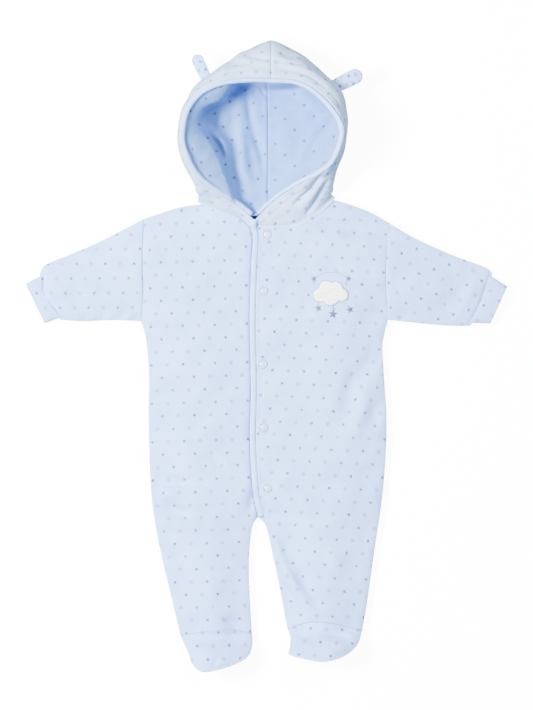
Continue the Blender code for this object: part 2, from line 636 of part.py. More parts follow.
def keep_side(grid, side):
    """Holds one half of the hood on its own side of the centre seam, down to the neck."""
    limit = HOOD_CENTRE + side * HOOD_SEAM / 2
    sideways = np.maximum(grid[..., 0], limit) if side > 0 else np.minimum(grid[..., 0], limit)
    grid[..., 0] = np.where(grid[..., 1] > HOOD_SEAM_END, sideways, grid[..., 0])
    return grid


def make_hood(cloth, lining, trim):
    rims = {}
    for name, lines, side in (("left", HOOD_LEFT_LINES, 1), ("right", HOOD_RIGHT_LINES, -1)):
        outside = keep_side(hood_grid(lines, HOOD_TURNS, HOOD_ROWS_BETWEEN), side)
        inward = grid_normals(outside, side)
        share = neck_thinning(*outside.shape[:2])[..., None]
        wall = keep_side(outside + inward * HOOD_WALL * share, side)
        near = keep_side(outside + inward * (HOOD_WALL * share + SEAM_GAP), side)
        far = keep_side(outside + inward * ((HOOD_WALL + LINING_WALL) * share + SEAM_GAP), side)
        grid_wall(f"hood_{name}", outside, wall, cloth)
        grid_wall(f"hood_lining_{name}", near, far, lining)
        rims[name] = (outside[:-1, 0], outside[:-1, 1], inward[:-1, 0])
    make_binding(rims, trim)


def make_binding(rims, trim):
    """An oval tube on the hood's rim, from the V over the top and back to the V."""
    lines = []
    for name in ("right", "left"):
        rim, below, inward = rims[name]
        middle = rim + inward * (HOOD_WALL + SEAM_GAP + LINING_WALL) / 2
        outward = rim - below
        outward /= np.linalg.norm(outward, axis=1)[:, None]
        centre = middle + outward * (BINDING_HEIGHT / 2 + SEAM_GAP)
        lines.append((centre, outward, inward))
    right, left = lines
    centre = np.vstack([right[0][::-1], left[0][1:]])
    outward = np.vstack([right[1][::-1], left[1][1:]])
    inward = np.vstack([right[2][::-1], left[2][1:]])
    sides = BINDING_SIDES
    points, faces = [], []
    for c, o, i in zip(centre, outward, inward):
        for k in range(sides):
            angle = 2 * math.pi * k / sides
            points.append(c + o * math.cos(angle) * BINDING_HEIGHT / 2 + i * math.sin(angle) * BINDING_WIDTH / 2)
    for s in range(len(centre) - 1):
        for k in range(sides):
            n = (k + 1) % sides
            faces.append((s * sides + k, s * sides + n, (s + 1) * sides + n, (s + 1) * sides + k))
    faces.append(tuple(range(sides)))
    faces.append(tuple((len(centre) - 1) * sides + k for k in reversed(range(sides))))
    return add_solid("hood_binding", points, faces, trim)


def make_ear(side, cloth):
    """A flat rounded tab, thickest in its middle."""
    ear = EARS[side]
    base, tip = np.array(ear["base"]), np.array(ear["tip"])
    axis = tip - base
    length = np.linalg.norm(axis)
    axis /= length
    across = np.array((-axis[1], axis[0]))
    points, faces = [], []
    for s in range(EAR_STATIONS):
        t = s / (EAR_STATIONS - 1)
        reach = 1 - (1 - t) ** 1.6
        half = ear["width"] / 2 * math.sqrt(max(1 - max(reach - 0.35, 0) ** 2 / 0.4226, 0.004))
        half *= 0.86 + 0.14 * ease(np.array(reach * 2.0))
        thick = ear["thick"] / 2 * math.sqrt(max(1 - reach**3, 0.02))
        for k in range(EAR_RING):
            angle = 2 * math.pi * k / EAR_RING
            spot = base + axis * length * reach + across * half * math.cos(angle)
            points.append((spot[0], spot[1], ear["level"] + thick * math.sin(angle)))
    for s in range(EAR_STATIONS - 1):
        for k in range(EAR_RING):
            n = (k + 1) % EAR_RING
            faces.append((s * EAR_RING + k, s * EAR_RING + n, (s + 1) * EAR_RING + n, (s + 1) * EAR_RING + k))
    faces.append(tuple(range(EAR_RING)))
    faces.append(tuple((EAR_STATIONS - 1) * EAR_RING + k for k in reversed(range(EAR_RING))))
    return add_solid(f"ear_{side}", points, faces, cloth)


def make_snaps(finish):
    """Press-stud caps: a raised ring round a low dome."""
    profile, sides = SNAP_PROFILE, SNAP_SIDES
    for number, (x, y) in enumerate(SNAPS, start=1):
        floor = float(top_level(np.array([(x, y)]))[0]) + SEAM_GAP
        points, faces = [(x, y, floor + SNAP_HEIGHT)], []
        for radius, height in profile[1:]:
            for k in range(sides):
                angle = 2 * math.pi * k / sides
                points.append((x + SNAP_RADIUS * radius * math.cos(angle),
                               y + SNAP_RADIUS * radius * math.sin(angle), floor + SNAP_HEIGHT * height))
        for k in range(sides):
            faces.append((0, 1 + k, 1 + (k + 1) % sides))
        for ring in range(len(profile) - 2):
            a, b = 1 + ring * sides, 1 + (ring + 1) * sides
            for k in range(sides):
                n = (k + 1) % sides
                faces.append((a + k, b + k, b + n, a + n))
        last = 1 + (len(profile) - 2) * sides
        faces.append(tuple(last + k for k in reversed(range(sides))))
        add_solid(f"snap_{number}", points, faces, finish)


def main():
    remove_everything()
    cloth = material("velour", CLOTH_COLOUR, 0.95)
    lining = material("hood lining", LINING_COLOUR, 0.95)
    trim = material("binding", TRIM_COLOUR, 0.9)
    stud = material("press stud", SNAP_COLOUR, 0.3)
    make_fronts(cloth, trim)
    make_back(cloth)
    make_sleeve("sleeve_right", SLEEVE_TOP_RIGHT, SLEEVE_UNDER_RIGHT, ARMHOLE_RIGHT, SLEEVE_HEM_RIGHT, -1, cloth)
    make_sleeve("sleeve_left", SLEEVE_TOP_LEFT, SLEEVE_UNDER_LEFT, ARMHOLE_LEFT, SLEEVE_HEM_LEFT, 1, cloth)
    make_cuff("cuff_right", SLEEVE_HEM_RIGHT, WRIST_RIGHT, trim)
    make_cuff("cuff_left", SLEEVE_HEM_LEFT, WRIST_LEFT, trim)
    make_foot("right", FOOT_RIGHT, ANKLE_RIGHT, cloth)
    make_foot("left", FOOT_LEFT, ANKLE_LEFT, cloth)
    make_hood(cloth, lining, trim)
    make_ear("right", cloth)
    make_ear("left", cloth)
    make_snaps(stud)


main()
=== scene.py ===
"""The looks of a baby's hooded snowsuit laid flat: padded velour with a dotted print.

The tables are in millimetres, in the frame of the model: X to the wearer's left, Y to the head, Z up.
"""

import math

import bmesh
import bpy
import numpy as np
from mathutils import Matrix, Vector
from mathutils.geometry import delaunay_2d_cdt


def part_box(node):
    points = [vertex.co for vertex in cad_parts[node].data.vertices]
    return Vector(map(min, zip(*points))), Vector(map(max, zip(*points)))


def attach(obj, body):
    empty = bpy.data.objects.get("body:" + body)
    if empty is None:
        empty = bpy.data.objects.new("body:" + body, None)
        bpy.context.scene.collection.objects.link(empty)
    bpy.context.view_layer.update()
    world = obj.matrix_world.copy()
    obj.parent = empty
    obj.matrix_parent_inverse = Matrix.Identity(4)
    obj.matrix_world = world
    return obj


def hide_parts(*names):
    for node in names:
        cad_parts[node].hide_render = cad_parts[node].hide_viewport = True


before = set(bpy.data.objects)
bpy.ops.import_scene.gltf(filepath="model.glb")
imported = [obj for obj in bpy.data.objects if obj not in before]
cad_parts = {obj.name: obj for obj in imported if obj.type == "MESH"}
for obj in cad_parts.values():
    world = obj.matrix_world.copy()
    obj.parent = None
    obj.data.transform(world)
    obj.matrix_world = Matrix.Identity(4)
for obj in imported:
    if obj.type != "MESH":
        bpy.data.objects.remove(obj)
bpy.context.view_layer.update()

MM = 0.001
SEAM_GAP = 0.3  # between pieces that are sewn together
BODY_HEIGHT = 14.0  # of the two panels that lie on each other
SEAM_LEVEL = 6.5  # height of the side seams
HOLLOW = 3.4  # left between front and back
HOLLOW_START = 3.0  # it opens this far from the outline
HOLLOW_RISE = 5.0  # over this width
EDGE_ROUND = 12.0  # width over which the outline rolls over
UNDER_ROUND = 7.0  # the same on the underside
SOFT_SHARE = 0.55  # of a panel's height, which rises slowly over the crown's width
CROWN_WIDTH = 46.0
FOOT_CROWN = 20.0
PADDING = 2.4  # how much fuller the cloth is at the crown's width from its outline
SAG = 1.4  # how much it sinks again towards the middle of the body
EDGE_BLUNT = 0.6  # how far outside the outline the rolls would meet
CALM_EDGE = 9.0  # width along the outline over which folds and waves fade out
PUCKER_EDGE = 2.5  # the same for the puckers
PUCKER_DEPTH = 1.5
WAVE_COUNT = 7  # plain waves in each set of ripples
WAVE_SCALE = 3.2  # brings their sum to between about -1 and 1
WAVES = [(1.0, 50, 5), (0.2, 16, 6)]  # unevenness of the padding: height, size, seed
OUTLINE_STEP = 3.5  # spacing of the points along the seams
FIELD_STEP = 3.6  # spacing of the points inside a front
BACK_STEP = 7.0  # spacing of the points inside the back
LAP_STEP = 8.0
FOOT_STEP = 2.6
SOLE_STEP = 4.0
EDGE_DIP = 0.5  # how much a panel sinks along its seams

# Outline of the garment, each edge from the neck outwards, (x, y)
SHOULDER_RIGHT = [(-75.8, 165.6), (-94.4, 163), (-116.3, 156.2), (-134.2, 150.4)]
SLEEVE_TOP_RIGHT = [(-134.2, 150.4), (-161.7, 136.1), (-190.3, 121.8), (-220.7, 109.1), (-244.2, 99),
                    (-249.3, 90)]
SLEEVE_HEM_RIGHT = [(-249.3, 90), (-248, 68), (-238, 52), (-226.1, 38.5)]
SLEEVE_UNDER_RIGHT = [(-226.1, 38.5), (-200, 37.2), (-170.2, 38.4), (-138.1, 37.2)]
ARMHOLE_RIGHT = [(-134.2, 150.4), (-136.4, 115.5), (-135.6, 71.5), (-138.1, 37.2)]
SIDE_RIGHT = [(-138.1, 37.2), (-132.6, 16.5), (-129.4, -27.5), (-130, -71.5), (-127.1, -150.7),
              (-119.4, -203.5), (-107.3, -256.3), (-94.9, -308.6)]
INSIDE_LEG_RIGHT = [(-9.4, -178.6), (-15.5, -189), (-18.6, -214), (-19.2, -247.5), (-16, -306.6)]
SHOULDER_LEFT = [(75.9, 170.5), (90.8, 166.1), (114.5, 157.1), (135.2, 145.2)]
SLEEVE_TOP_LEFT = [(135.2, 145.2), (163.4, 128.7), (204.1, 110.3), (240, 97), (249, 90.5)]
SLEEVE_HEM_LEFT = [(249, 90.5), (244.6, 75.9), (238.6, 59.4), (231.4, 43.1), (224.3, 31.9)]
SLEEVE_UNDER_LEFT = [(224.3, 31.9), (200, 32.2), (170, 34.8), (133.7, 38.5)]
ARMHOLE_LEFT = [(135.2, 145.2), (132.6, 120.5), (130.8, 79.8), (133.7, 38.5)]
SIDE_LEFT = [(133.7, 38.5), (128, 12), (129.2, -18.7), (132.4, -80), (128.2, -150.7),
             (119.4, -212.3), (110.6, -273.9), (105.4, -303.2)]
INSIDE_LEG_LEFT = [(-9.4, -178.6), (-1, -188), (5, -212.3), (13, -249), (23.1, -301.9)]
NECK_RIGHT = [(-75.8, 165.6), (-56.7, 160.6), (-33.6, 152.9), (-18.2, 140.5)]
NECK_LEFT = [(-17.6, 140.5), (-3.4, 140.8), (21.1, 140.8), (40.8, 144.1), (65.5, 160.6), (75.9, 170.5)]
BACK_NECK = [(-75.8, 165.6), (-40, 167), (0, 165.6), (40, 167), (75.9, 170.5)]
FRONT_EDGE = [(-17.6, 140.5), (-15.2, 128), (-17, 100), (-18.8, 40), (-17.4, -35), (-18.6, -93.5),
              (-15.2, -149.6), (-9.4, -178.6)]
FOOT_RIGHT = [(-94.9, -308.6), (-92.1, -315), (-86.5, -326), (-81.5, -339), (-71, -347.2), (-57, -346),
              (-36, -340), (-20.5, -331.5), (-15.4, -319), (-16, -306.6)]
ANKLE_RIGHT = [(-94.9, -308.6), (-64, -304.2), (-40, -301.6), (-16, -306.6)]
FOOT_LEFT = [(23.1, -301.9), (26, -310), (25.6, -322), (24.5, -328.5), (40.7, -333.2), (60, -336.4),
             (76, -334), (91, -327), (101, -317), (105.4, -303.2)]
ANKLE_LEFT = [(23.1, -301.9), (45, -294.6), (68, -294.6), (105.4, -303.2)]
BAND_WIDTH = 6.6  # binding of the left front's edge
BAND_START = (-16.2, 149.5)  # where it runs out of the hood's rim
BAND_RISE = 6.0  # from the front up to the rim
# Section of the band: share of its width from the middle, share of its height
BAND_PROFILE = [(-0.42, 0.0), (-0.48, 0.55), (-0.44, 0.86), (-0.26, 0.98), (0.0, 1.0), (0.24, 0.97),
                (0.43, 0.9), (0.5, 0.78), (0.5, 0.0)]
ROLLED_EDGES = [
    SHOULDER_RIGHT, SLEEVE_TOP_RIGHT, SLEEVE_UNDER_RIGHT, SIDE_RIGHT, FOOT_RIGHT, INSIDE_LEG_RIGHT,
    INSIDE_LEG_LEFT, FOOT_LEFT, SIDE_LEFT, SLEEVE_UNDER_LEFT, SLEEVE_TOP_LEFT, SHOULDER_LEFT,
]

CROTCH_X = -8  # the legs part here
# Feet: ankle y, toe y, rise of the seam at the toes, thickness above and below the seam
FEET = {
    "right": dict(ankle=-306, toe=-347, rise=34.0, above=13.5, below=11.5),
    "left": dict(ankle=-299, toe=-336, rise=32.0, above=13.5, below=11.5),
}

FOLD_DEPTH = 2.3  # for all the folds below
FOOT_FOLD_DEPTH = 1.7
# Soft folds of the front, (points along the fold, width, height), troughs below 0
FOLDS = [
    # armholes and shoulders
    ([(-134, 146), (-136, 112), (-135, 72), (-137, 42)], 4.0, -0.25),
    ([(134, 140), (132, 118), (130, 80), (132, 44)], 4.0, -0.4),
    ([(56, 142), (80, 141), (104, 139), (124, 134)], 9.0, -2.2),
    ([(64, 151), (88, 152), (112, 147)], 7.0, 0.8),
    ([(112, 138), (134, 132), (158, 121)], 10.0, -1.0),
    # left side of the chest and waist
    ([(122, 8), (108, -14), (92, -34), (88, -72)], 9.0, -1.9),
    ([(112, -30), (106, -58), (96, -92)], 7.0, 0.9),
    ([(130, 2), (116, -8)], 6.0, -1.2),
    ([(124, -52), (116, -84)], 8.0, -0.9),
    # right side of the chest and waist
    ([(-128, 14), (-112, -4)], 9.0, -1.3),
    ([(-130, -42), (-100, -46)], 7.0, -1.3),
    ([(-126, -26), (-98, -22)], 7.0, 0.7),
    ([(-94, 78), (-54, 74)], 5.0, -0.5),
    ([(-92, 88), (-60, 84)], 6.0, 0.4),
    # hip and thigh of the right leg
    ([(-125, -136), (-104, -140), (-84, -139)], 5.5, -2.4),
    ([(-118, -152), (-96, -153)], 5.5, 1.7),
    ([(-124, -166), (-104, -171), (-84, -174)], 6.0, -3.2),
    ([(-116, -182), (-92, -184)], 5.0, 1.4),
    ([(-118, -196), (-100, -199)], 5.0, -1.3),
    ([(-112, -214), (-92, -220)], 7.0, -1.3),
    ([(-86, -96), (-60, -112), (-38, -128)], 5.0, -0.8),
    ([(-56, -106), (-34, -130)], 4.5, 0.7),
    ([(-76, -84), (-46, -96)], 5.0, 0.5),
    ([(-60, -186), (-30, -196)], 6.0, -0.5),
    ([(-64, -204), (-26, -206)], 6.0, 0.5),
    # crotch and the long ridge inside the left leg
    ([(-6, -164), (14, -188), (42, -208)], 10.0, -2.3),
    ([(8, -184), (30, -202)], 7.0, -1.4),
    ([(7, -202), (20, -236), (40, -268), (53, -292)], 5.5, 2.6),
    ([(20, -208), (38, -238), (56, -274)], 6.0, -1.6),
    ([(16, -254), (27, -270)], 5.0, -1.6),
    ([(-14, -150), (-20, -176)], 4.0, -0.8),
    ([(-24, -150), (-34, -178)], 6.0, 0.6),
    ([(2, -152), (10, -172)], 5.0, 0.8),
    ([(60, -200), (84, -236)], 12.0, 0.9),
    # ankles
    ([(-46, -291), (-34, -297), (-22, -299)], 3.2, -1.9),
    ([(-60, -283), (-40, -285)], 6.0, 0.8),
    ([(-88, -296), (-70, -293)], 6.0, -1.1),
    ([(44, -284), (70, -285)], 5.0, 0.9),
    # sleeves
    ([(-249, 88), (-243, 66), (-232, 48)], 3.5, -1.1),
    ([(-232, 84), (-222, 62), (-214, 50)], 6.0, 0.8),
    ([(246, 80), (238, 58), (229, 40)], 3.5, -1.1),
    ([(228, 82), (220, 60), (214, 44)], 6.0, 0.8),
    ([(-200, 104), (-170, 118)], 9.0, 0.6),
    ([(176, 108), (214, 92)], 9.0, -0.8),
    ([(150, 52), (180, 58)], 8.0, 0.6),
]
# Folds of the tops of the feet alone
FOOT_FOLDS = {
    "right": [
        ([(-86, -309), (-60, -303.5), (-30, -302), (-18, -306)], 2.6, 1.3),
        ([(-78, -317), (-52, -312), (-24, -309)], 4.2, -1.7),
        ([(-46, -316), (-28, -318)], 5.0, -1.2),
        ([(-74, -335), (-60, -338), (-40, -335)], 4.5, 1.4),
        ([(-58, -341), (-54, -334)], 2.6, -1.1),
        ([(-88, -318), (-80, -326)], 4.0, -1.0),
        ([(-70, -324), (-58, -326)], 4.0, 0.8),
    ],
    "left": [
        ([(30, -306), (44, -309), (58, -309)], 5.0, -2.0),
        ([(62, -306), (80, -308), (94, -314)], 5.0, -2.4),
        ([(34, -325), (44, -328), (58, -330)], 3.6, 1.3),
        ([(64, -329), (78, -327)], 4.5, 1.1),
        ([(60, -300), (84, -305), (98, -313)], 3.0, 1.4),
        ([(29, -306), (29, -322)], 2.2, -1.0),
        ([(46, -318), (66, -319)], 5.0, -1.0),
    ],
}
# Small puckers that run in from an under-arm seam, (x, y, length, width, height)
PUCKERS = [
    (-208, 38, 12, 2.6, 0.9), (-199, 38, 9, 2.2, -0.9), (-191, 38, 15, 2.8, 1.0), (-180, 39, 11, 2.4, -1.0),
    (-172, 39, 13, 2.6, 1.0), (-160, 39, 9, 2.4, -0.9), (-152, 39, 15, 3.0, 1.1), (-143, 38, 12, 2.4, -1.0),
    (148, 38, 9, 2.4, -0.7), (158, 37, 12, 2.6, 0.7), (172, 35, 8, 2.4, -0.6), (196, 33, 9, 2.6, 0.6),
]

# Wrist ends of the cuffs, (x, y) of the upper and the lower corner
WRIST_RIGHT = [(-265.4, 78.5), (-244.4, 34.8)]
WRIST_LEFT = [(265.2, 75.5), (246.5, 34.5)]
ARM_DIP = 0.4  # how much a sleeve sinks at the armhole
SEAM_WIDTH = 1.6  # over which the cloth sinks along a seam
HEM_DROP = 2.4  # how much it sinks at its hem
HEM_WIDTH = 3.4
FOLD_HALF = 0.5  # half the thickness of a folded edge
SLEEVE_WALL = 6.0  # at the folds
CUFF_HEIGHT = 12.0
CUFF_WALL = 3.4
CUFF_INSET = 0.05  # share of the hem left free at each end
CUFF_TUCK = 2.6  # into the sleeve's end
CUFF_HALF_GAP = 1.5  # half the height of its hollow
CUFF_FOLD_HALF = 0.4
CUFF_TAPER = 0.12  # share of its height lost towards the wrist
CUFF_PINCH = 0.30  # and at the sleeve, where it is gathered
GATHER_HEIGHT = 0.35
CUFF_SEWING = 0.8  # share of its length, and the width and depth of the line there
CUFF_SEWING_WIDTH = 0.07
CUFF_SEWING_DEPTH = 0.45

SNAPS = [(-0.1, 132.7), (-4.1, 70.4), (-5, -9.9), (-4.1, -79.5), (0.6, -146.3)]
SNAP_RADIUS = 5.6
SNAP_DIMPLE = 1.7  # width of the flat cloth round a stud, as a share of the stud
SEWING_DEPTH = 0.75
ARMHOLE_SEWING = 1.9  # from a seam to the sewing beside it
NECK_SEWING = 2.2
SECOND_ROW = 4.4  # from the band to the second row of sewing
GROOVE_DEPTH = 1.3  # of the line along the band
GROOVE_WIDTH = 1.1
LAP_SINK = 1.1  # how much the right front sinks under the left one
LAP_SINK_WIDTH = 4.2
LAP_Y = (-150, 136.5)  # ends of the lap under the front opening
LAP_WIDTH = 24.0
LAP_HALF = 1.3  # half its thickness

HOOD_CENTRE = 5.0  # x of the centre seam
HOOD_SEAM = -0.4  # gap between the halves; they overlap a little, so that no crack shows
HOOD_SEAM_END = 165.0  # y where the seam ends, above the neck
HOOD_WALL = 4.0
HOOD_SEAM_DEPTH = 1.3
HOOD_SEAM_WIDTH = 1.5
HOOD_WAVES = (0.5, 30, 11)  # height, size, seed
LINING_WAVES = (0.5, 26, 12)
HOOD_PLAIN = (10.0, 8.0)  # the outside is plain up to this height, and its folds begin over the next width
NECK_START = 0.56  # share of the rim's length at which the gathered neck begins
NECK_LENGTH = 0.16  # share over which the wall becomes thin there
NECK_THINNING = 0.62
LINING_SEAM_RIDGE = 0.8  # how high the lining stands beside its centre seam
HOOD_HEM = 9.5  # from the rim to the sewing of the hem
HOOD_HEM_DEPTH = 0.5
HOOD_HEM_WIDTH = 1.5
LINING_WALL = 1.8
HOOD_TURNS = 96  # points from the rim to the seam
HOOD_ROWS_BETWEEN = 11  # rows for each line of the tables
# Lines of the hood from its rim over the outside to the seam, (rim, bulge, turn, foot), each (x, y, z)
HOOD_LEFT_LINES = [
    ((4.8, 303.2, 60), (4.8, 331, 47), (4.8, 347.4, 21), (4.8, 314, 0)),
    ((31, 301.4, 62), (34, 322, 49), (37.5, 331, 21), (4.8, 296, 0)),
    ((50.1, 293.2, 64), (58, 307, 50), (62, 308.5, 21), (4.8, 279, 0)),
    ((68.8, 276.7, 66), (80, 288, 50), (80, 286, 20), (4.8, 261, 0)),
    ((81.6, 259, 67), (88, 264, 48), (84, 260, 17), (4.8, 243, 0)),
    ((85.6, 243, 67), (89, 243, 44), (82, 240, 14), (4.8, 225, 0)),
    ((82.5, 227.7, 64), (86, 226, 40), (77, 222, 12), (4.8, 206, 0)),
    ((73.2, 208, 58), (79, 206, 35), (68, 202, 11), (4.8, 186, 0)),
    ((58.6, 196.3, 49), (74, 192, 30), (68, 186, 9), (4.8, 167, 0)),
    ((44, 189.5, 42), (66, 186, 33), (73, 180, 12), (40, 168.5, 0.2)),
    ((31, 183, 34), (54, 179, 28), (69, 177.5, 16), (75.2, 174.4, 6.0)),
    ((16, 174, 28), (36, 165, 24), (49, 159.5, 17.5), (57.5, 154.6, 13.4)),
    ((0.6, 161.5, 23), (14, 153.5, 21), (24, 147, 17), (28.6, 140.4, 13.4)),
    ((-12.6, 147.6, 19.0), (-12.3, 145.8, 18), (-12, 143.4, 16), (-11.4, 140.4, 13.6)),
]
HOOD_RIGHT_LINES = [
    ((5.2, 303.2, 60), (5.2, 331, 47), (5.2, 347.4, 21), (5.2, 314, 0)),
    ((-22, 303.6, 62), (-23, 323, 49), (-27, 332.5, 21), (5.2, 296, 0)),
    ((-50, 300.1, 64), (-54, 309.5, 49), (-56, 310, 21), (5.2, 279, 0)),
    ((-72, 290, 66), (-76, 295, 48), (-75, 292.5, 20), (5.2, 261, 0)),
    ((-87.5, 272.5, 67), (-90.5, 274.5, 46), (-85, 268, 16), (5.2, 243, 0)),
    ((-94.2, 251, 67), (-96.3, 250, 46), (-83, 245, 13), (5.2, 225, 0)),
    ((-94.4, 229.9, 64), (-96.2, 228, 42), (-77, 226, 11), (5.2, 206, 0)),
    ((-86.4, 208, 58), (-89, 206, 38), (-66, 205, 10), (5.2, 186, 0)),
    ((-75.5, 192, 49), (-79.5, 188, 32), (-62, 188, 9), (5.2, 167, 0)),
    ((-64.4, 182.8, 43), (-76.5, 178.5, 32), (-70, 176.5, 11), (-38, 169.3, 0.2)),
    ((-52.5, 175.8, 36), (-67, 174, 29), (-74.5, 172.5, 16), (-76, 169.6, 6.5)),
    ((-38, 166.8, 28), (-47, 164.0, 24), (-54, 162.2, 18), (-57.6, 159.4, 13.4)),
    ((-25, 158, 23), (-29, 156.3, 21), (-32, 154.6, 17), (-34.4, 151.4, 13.4)),
    ((-14, 147.6, 19.0), (-15, 146.0, 18), (-16, 144.4, 16), (-17.4, 140.6, 13.4)),
]
# Folds of the hood's outside and of its lining as seen from above, (points, width, height), troughs below 0
HOOD_FOLDS = [
    ([(-40, 314), (-10, 315.5), (20, 314), (46, 306), (62, 295)], 3.0, -1.8),  # hem seam round the rim
    ([(14, 330), (34, 327)], 5.0, -3.0),
    ([(8, 322), (38, 319)], 3.2, -2.2),
    ([(-22, 327), (0, 325)], 3.6, -2.4),
    ([(-38, 319), (-12, 320)], 3.0, -2.4),
    ([(60, 196), (49, 181.5), (38, 171.6), (30.3, 163.9)], 2.6, -3.6),
    ([(67, 190), (60, 179.3), (53.4, 168.3), (44.6, 154)], 2.3, -4.4),
    ([(63, 193), (54.5, 180.5), (46, 170), (37, 159)], 3.0, 1.1),
    ([(50, 191), (40, 183), (28, 172)], 3.4, 1.0),
    ([(26, 152), (6, 147)], 3.0, -0.8),
    ([(-72, 190), (-62, 176), (-48, 167), (-30, 158)], 3.6, -1.2),
    ([(-78, 196), (-70, 180)], 3.0, 1.0),
]
# Edges of the two flaps that the hood's sides make inside it, from the crown to the neck, (x, y, z)
FLAPS = {
    "right": [(44.6, 294.2, 53), (34.7, 296.4, 53), (14, 295.5, 52), (1.7, 296, 51), (-7, 297, 51),
              (-14.9, 300.3, 55), (-29.2, 300.3, 55), (-36, 296.5, 53), (-45.1, 286.7, 51), (-50, 279.4, 50),
              (-70, 268, 55), (-73, 250, 51), (-57.3, 225.5, 43), (-45.1, 196.1, 35), (-32.8, 167.2, 27),
              (-14, 149.4, 18.6)],
    "left": [(44.6, 294.2, 53), (60, 280, 54), (72, 266, 52), (66, 250, 45), (53.4, 233, 36), (42, 212, 29),
             (34, 198, 26), (22, 184, 24), (8, 168.5, 21), (-12, 150.5, 18)],
}
FLAP_SOFTNESS = {"right": 1.9, "left": 6.0}  # how far beyond its edge each flap falls to the hood's back
FLAP_FOOT = {"right": 2.4, "left": 0.0}  # depth of the crease where it meets the back
FLAP_FOOT_WIDTH = 1.5
FLAP_BULGE = 3.2
FLAP_BELOW_RIM = 1.2
FLAPS_MEET_X = 47  # where on the crown the right flap ends and the left one begins
LINING_LEVELS = [(148, 8.0), (175, 10.0), (220, 11.0), (300, 7.5)]  # height of the hood's back, by y
LINING_SIDE_RISE = 0.12  # and how much higher it is for each millimetre from the middle
LINING_SEAM = [(-0.5, 301.2), (1.2, 285), (1.6, 250), (1.6, 215), (1.4, 185), (1.2, 163.4)]
LINING_STEP = 1.9
LINING_POINTS = 260  # round the rim
LINING_GAP = 2.0  # from the rim to the lining's edge
LINING_LOWEST = 6.4  # the lining stays above it, so that it lies clear of the hood's back
LINING_BLEND = 2.5  # width over which the flaps run into each other
LINING_FOLDS = [
    ([(-21.8, 290), (-17, 262), (-12, 240), (-6, 222), (-1.5, 198)], 4.2, -4.2),
    ([(-31, 276), (-28, 240), (-24, 205), (-18, 180)], 6.5, 5.0),
    ([(-62, 254), (-44, 241), (-37, 226), (-36, 207), (-30, 182)], 4.2, -5.0),
    ([(-63, 247), (-47, 233), (-44, 216)], 4.5, 6.5),
    ([(-52, 264), (-40, 256)], 6.0, 3.0),
    ([(8, 290), (26, 288), (40, 280)], 6.0, -3.5),
    ([(16, 262), (22, 230), (20, 200)], 10.0, 3.0),
    ([(75, 266), (60, 243), (45, 219)], 4.5, 2.4),
    ([(64, 262), (48, 232), (34, 208)], 5.0, -2.2),
    ([(-9, 299), (-5, 292), (0, 284)], 1.8, -3.5),
    ([(60, 268), (72, 262)], 5.0, -4.0),
]
NORMAL_SMOOTHING = 26  # rounds, so that the wall does not cross itself in tight turns
BINDING_WIDTH = 5.6
BINDING_HEIGHT = 4.4
BINDING_SKIP = 5  # rows of the hood left free at each end

# Ears: middle of the base, tip, height, width, thickness
EARS = {
    "right": dict(base=(-63.0, 297.0), tip=(-78.2, 329.2), level=33.0, width=13.4, thick=6.4),
    "left": dict(base=(68.5, 291.5), tip=(104.8, 309.2), level=33.0, width=17.0, thick=6.8),
}

# Print, as (x, y): from a dark dot to the next one in its row, to the next row, and one dark dot's place
PRINT_FRONT_RIGHT = ((35.2, 1.2), (11.9, -13.7), (-79.2, -66.2))
PRINT_FRONT_LEFT = ((34.8, -1.6), (10.8, -14.6), (54.5, 9.4))
PRINT_SLEEVE_RIGHT = ((31.8, 0.2), (6.1, 16.1), (-183.3, 84.2))
PRINT_SLEEVE_LEFT = ((14.4, 32.3), (16.7, 4.95), (186.7, 67.0))
PRINT_HOOD = ((33.0, 0.0), (11.5, -13.5), (0.0, 6.0))
PRINT_EAR = ((15.0, 3.0), (5.5, -8.5), (0.0, 0.0))
PRINT_LINING_RIGHT = ((26.2, -1.2), (9.5, -14.3), (-23.5, 291.5))
PRINT_LINING_LEFT = ((31.8, 3.0), (10.6, -12.2), (9.7, 271.9))
DARK_DOT = 1.6  # radii
PALE_DOT = 2.1
FAR_ROW = 100.5  # added before a fraction is taken, so that all the cloth lies on the positive side

# Base colours: they are deeper than the cloth looks under the bright light
CLOTH = (0.325, 0.505, 0.965)
HOOD_CLOTH = (0.40, 0.56, 0.84)
# The lining is the same velour as the outside: its much darker, bluer base is painted shade of the hood's
# hollow
LINING_IN_PAINTED_SHADE = (0.14, 0.28, 0.62)
TRIM = (0.355, 0.535, 0.95)
DARK_INK = (0.07, 0.11, 0.21, 1)
DARK_ON_HOOD = (0.13, 0.18, 0.31, 1)
PALE_INK = (0.225, 0.255, 0.50, 1)
PALE_ON_LINING = (0.19, 0.29, 0.58, 1)
SEWING_THREAD = (0.50, 0.65, 0.90)
WHITE_THREAD = (0.93, 0.94, 0.96)
GREY_THREAD = (0.055, 0.10, 0.19)
STUD_RING = (0.33, 0.48, 0.80)
STUD_PEARL = (0.52, 0.65, 0.90)
SHEEN = 0.04
FLAT_NAP = 0.7  # depth of the pile of the lining and the bindings, as a share of the velour's


# --- lines and fields ---


def unit(vectors):
    return vectors / np.maximum(np.linalg.norm(vectors, axis=-1), 1e-9)[..., None]


def ease(t):
    t = np.clip(t, 0, 1)
    return t * t * (3 - 2 * t)


def curve_point(a, b, c, d, t):
    """The point at t between b and c on the Catmull-Rom curve through four points."""
    return 0.5 * (2 * b + (c - a) * t + (2 * a - 5 * b + 4 * c - d) * t**2 + (3 * b - a - 3 * c + d) * t**3)


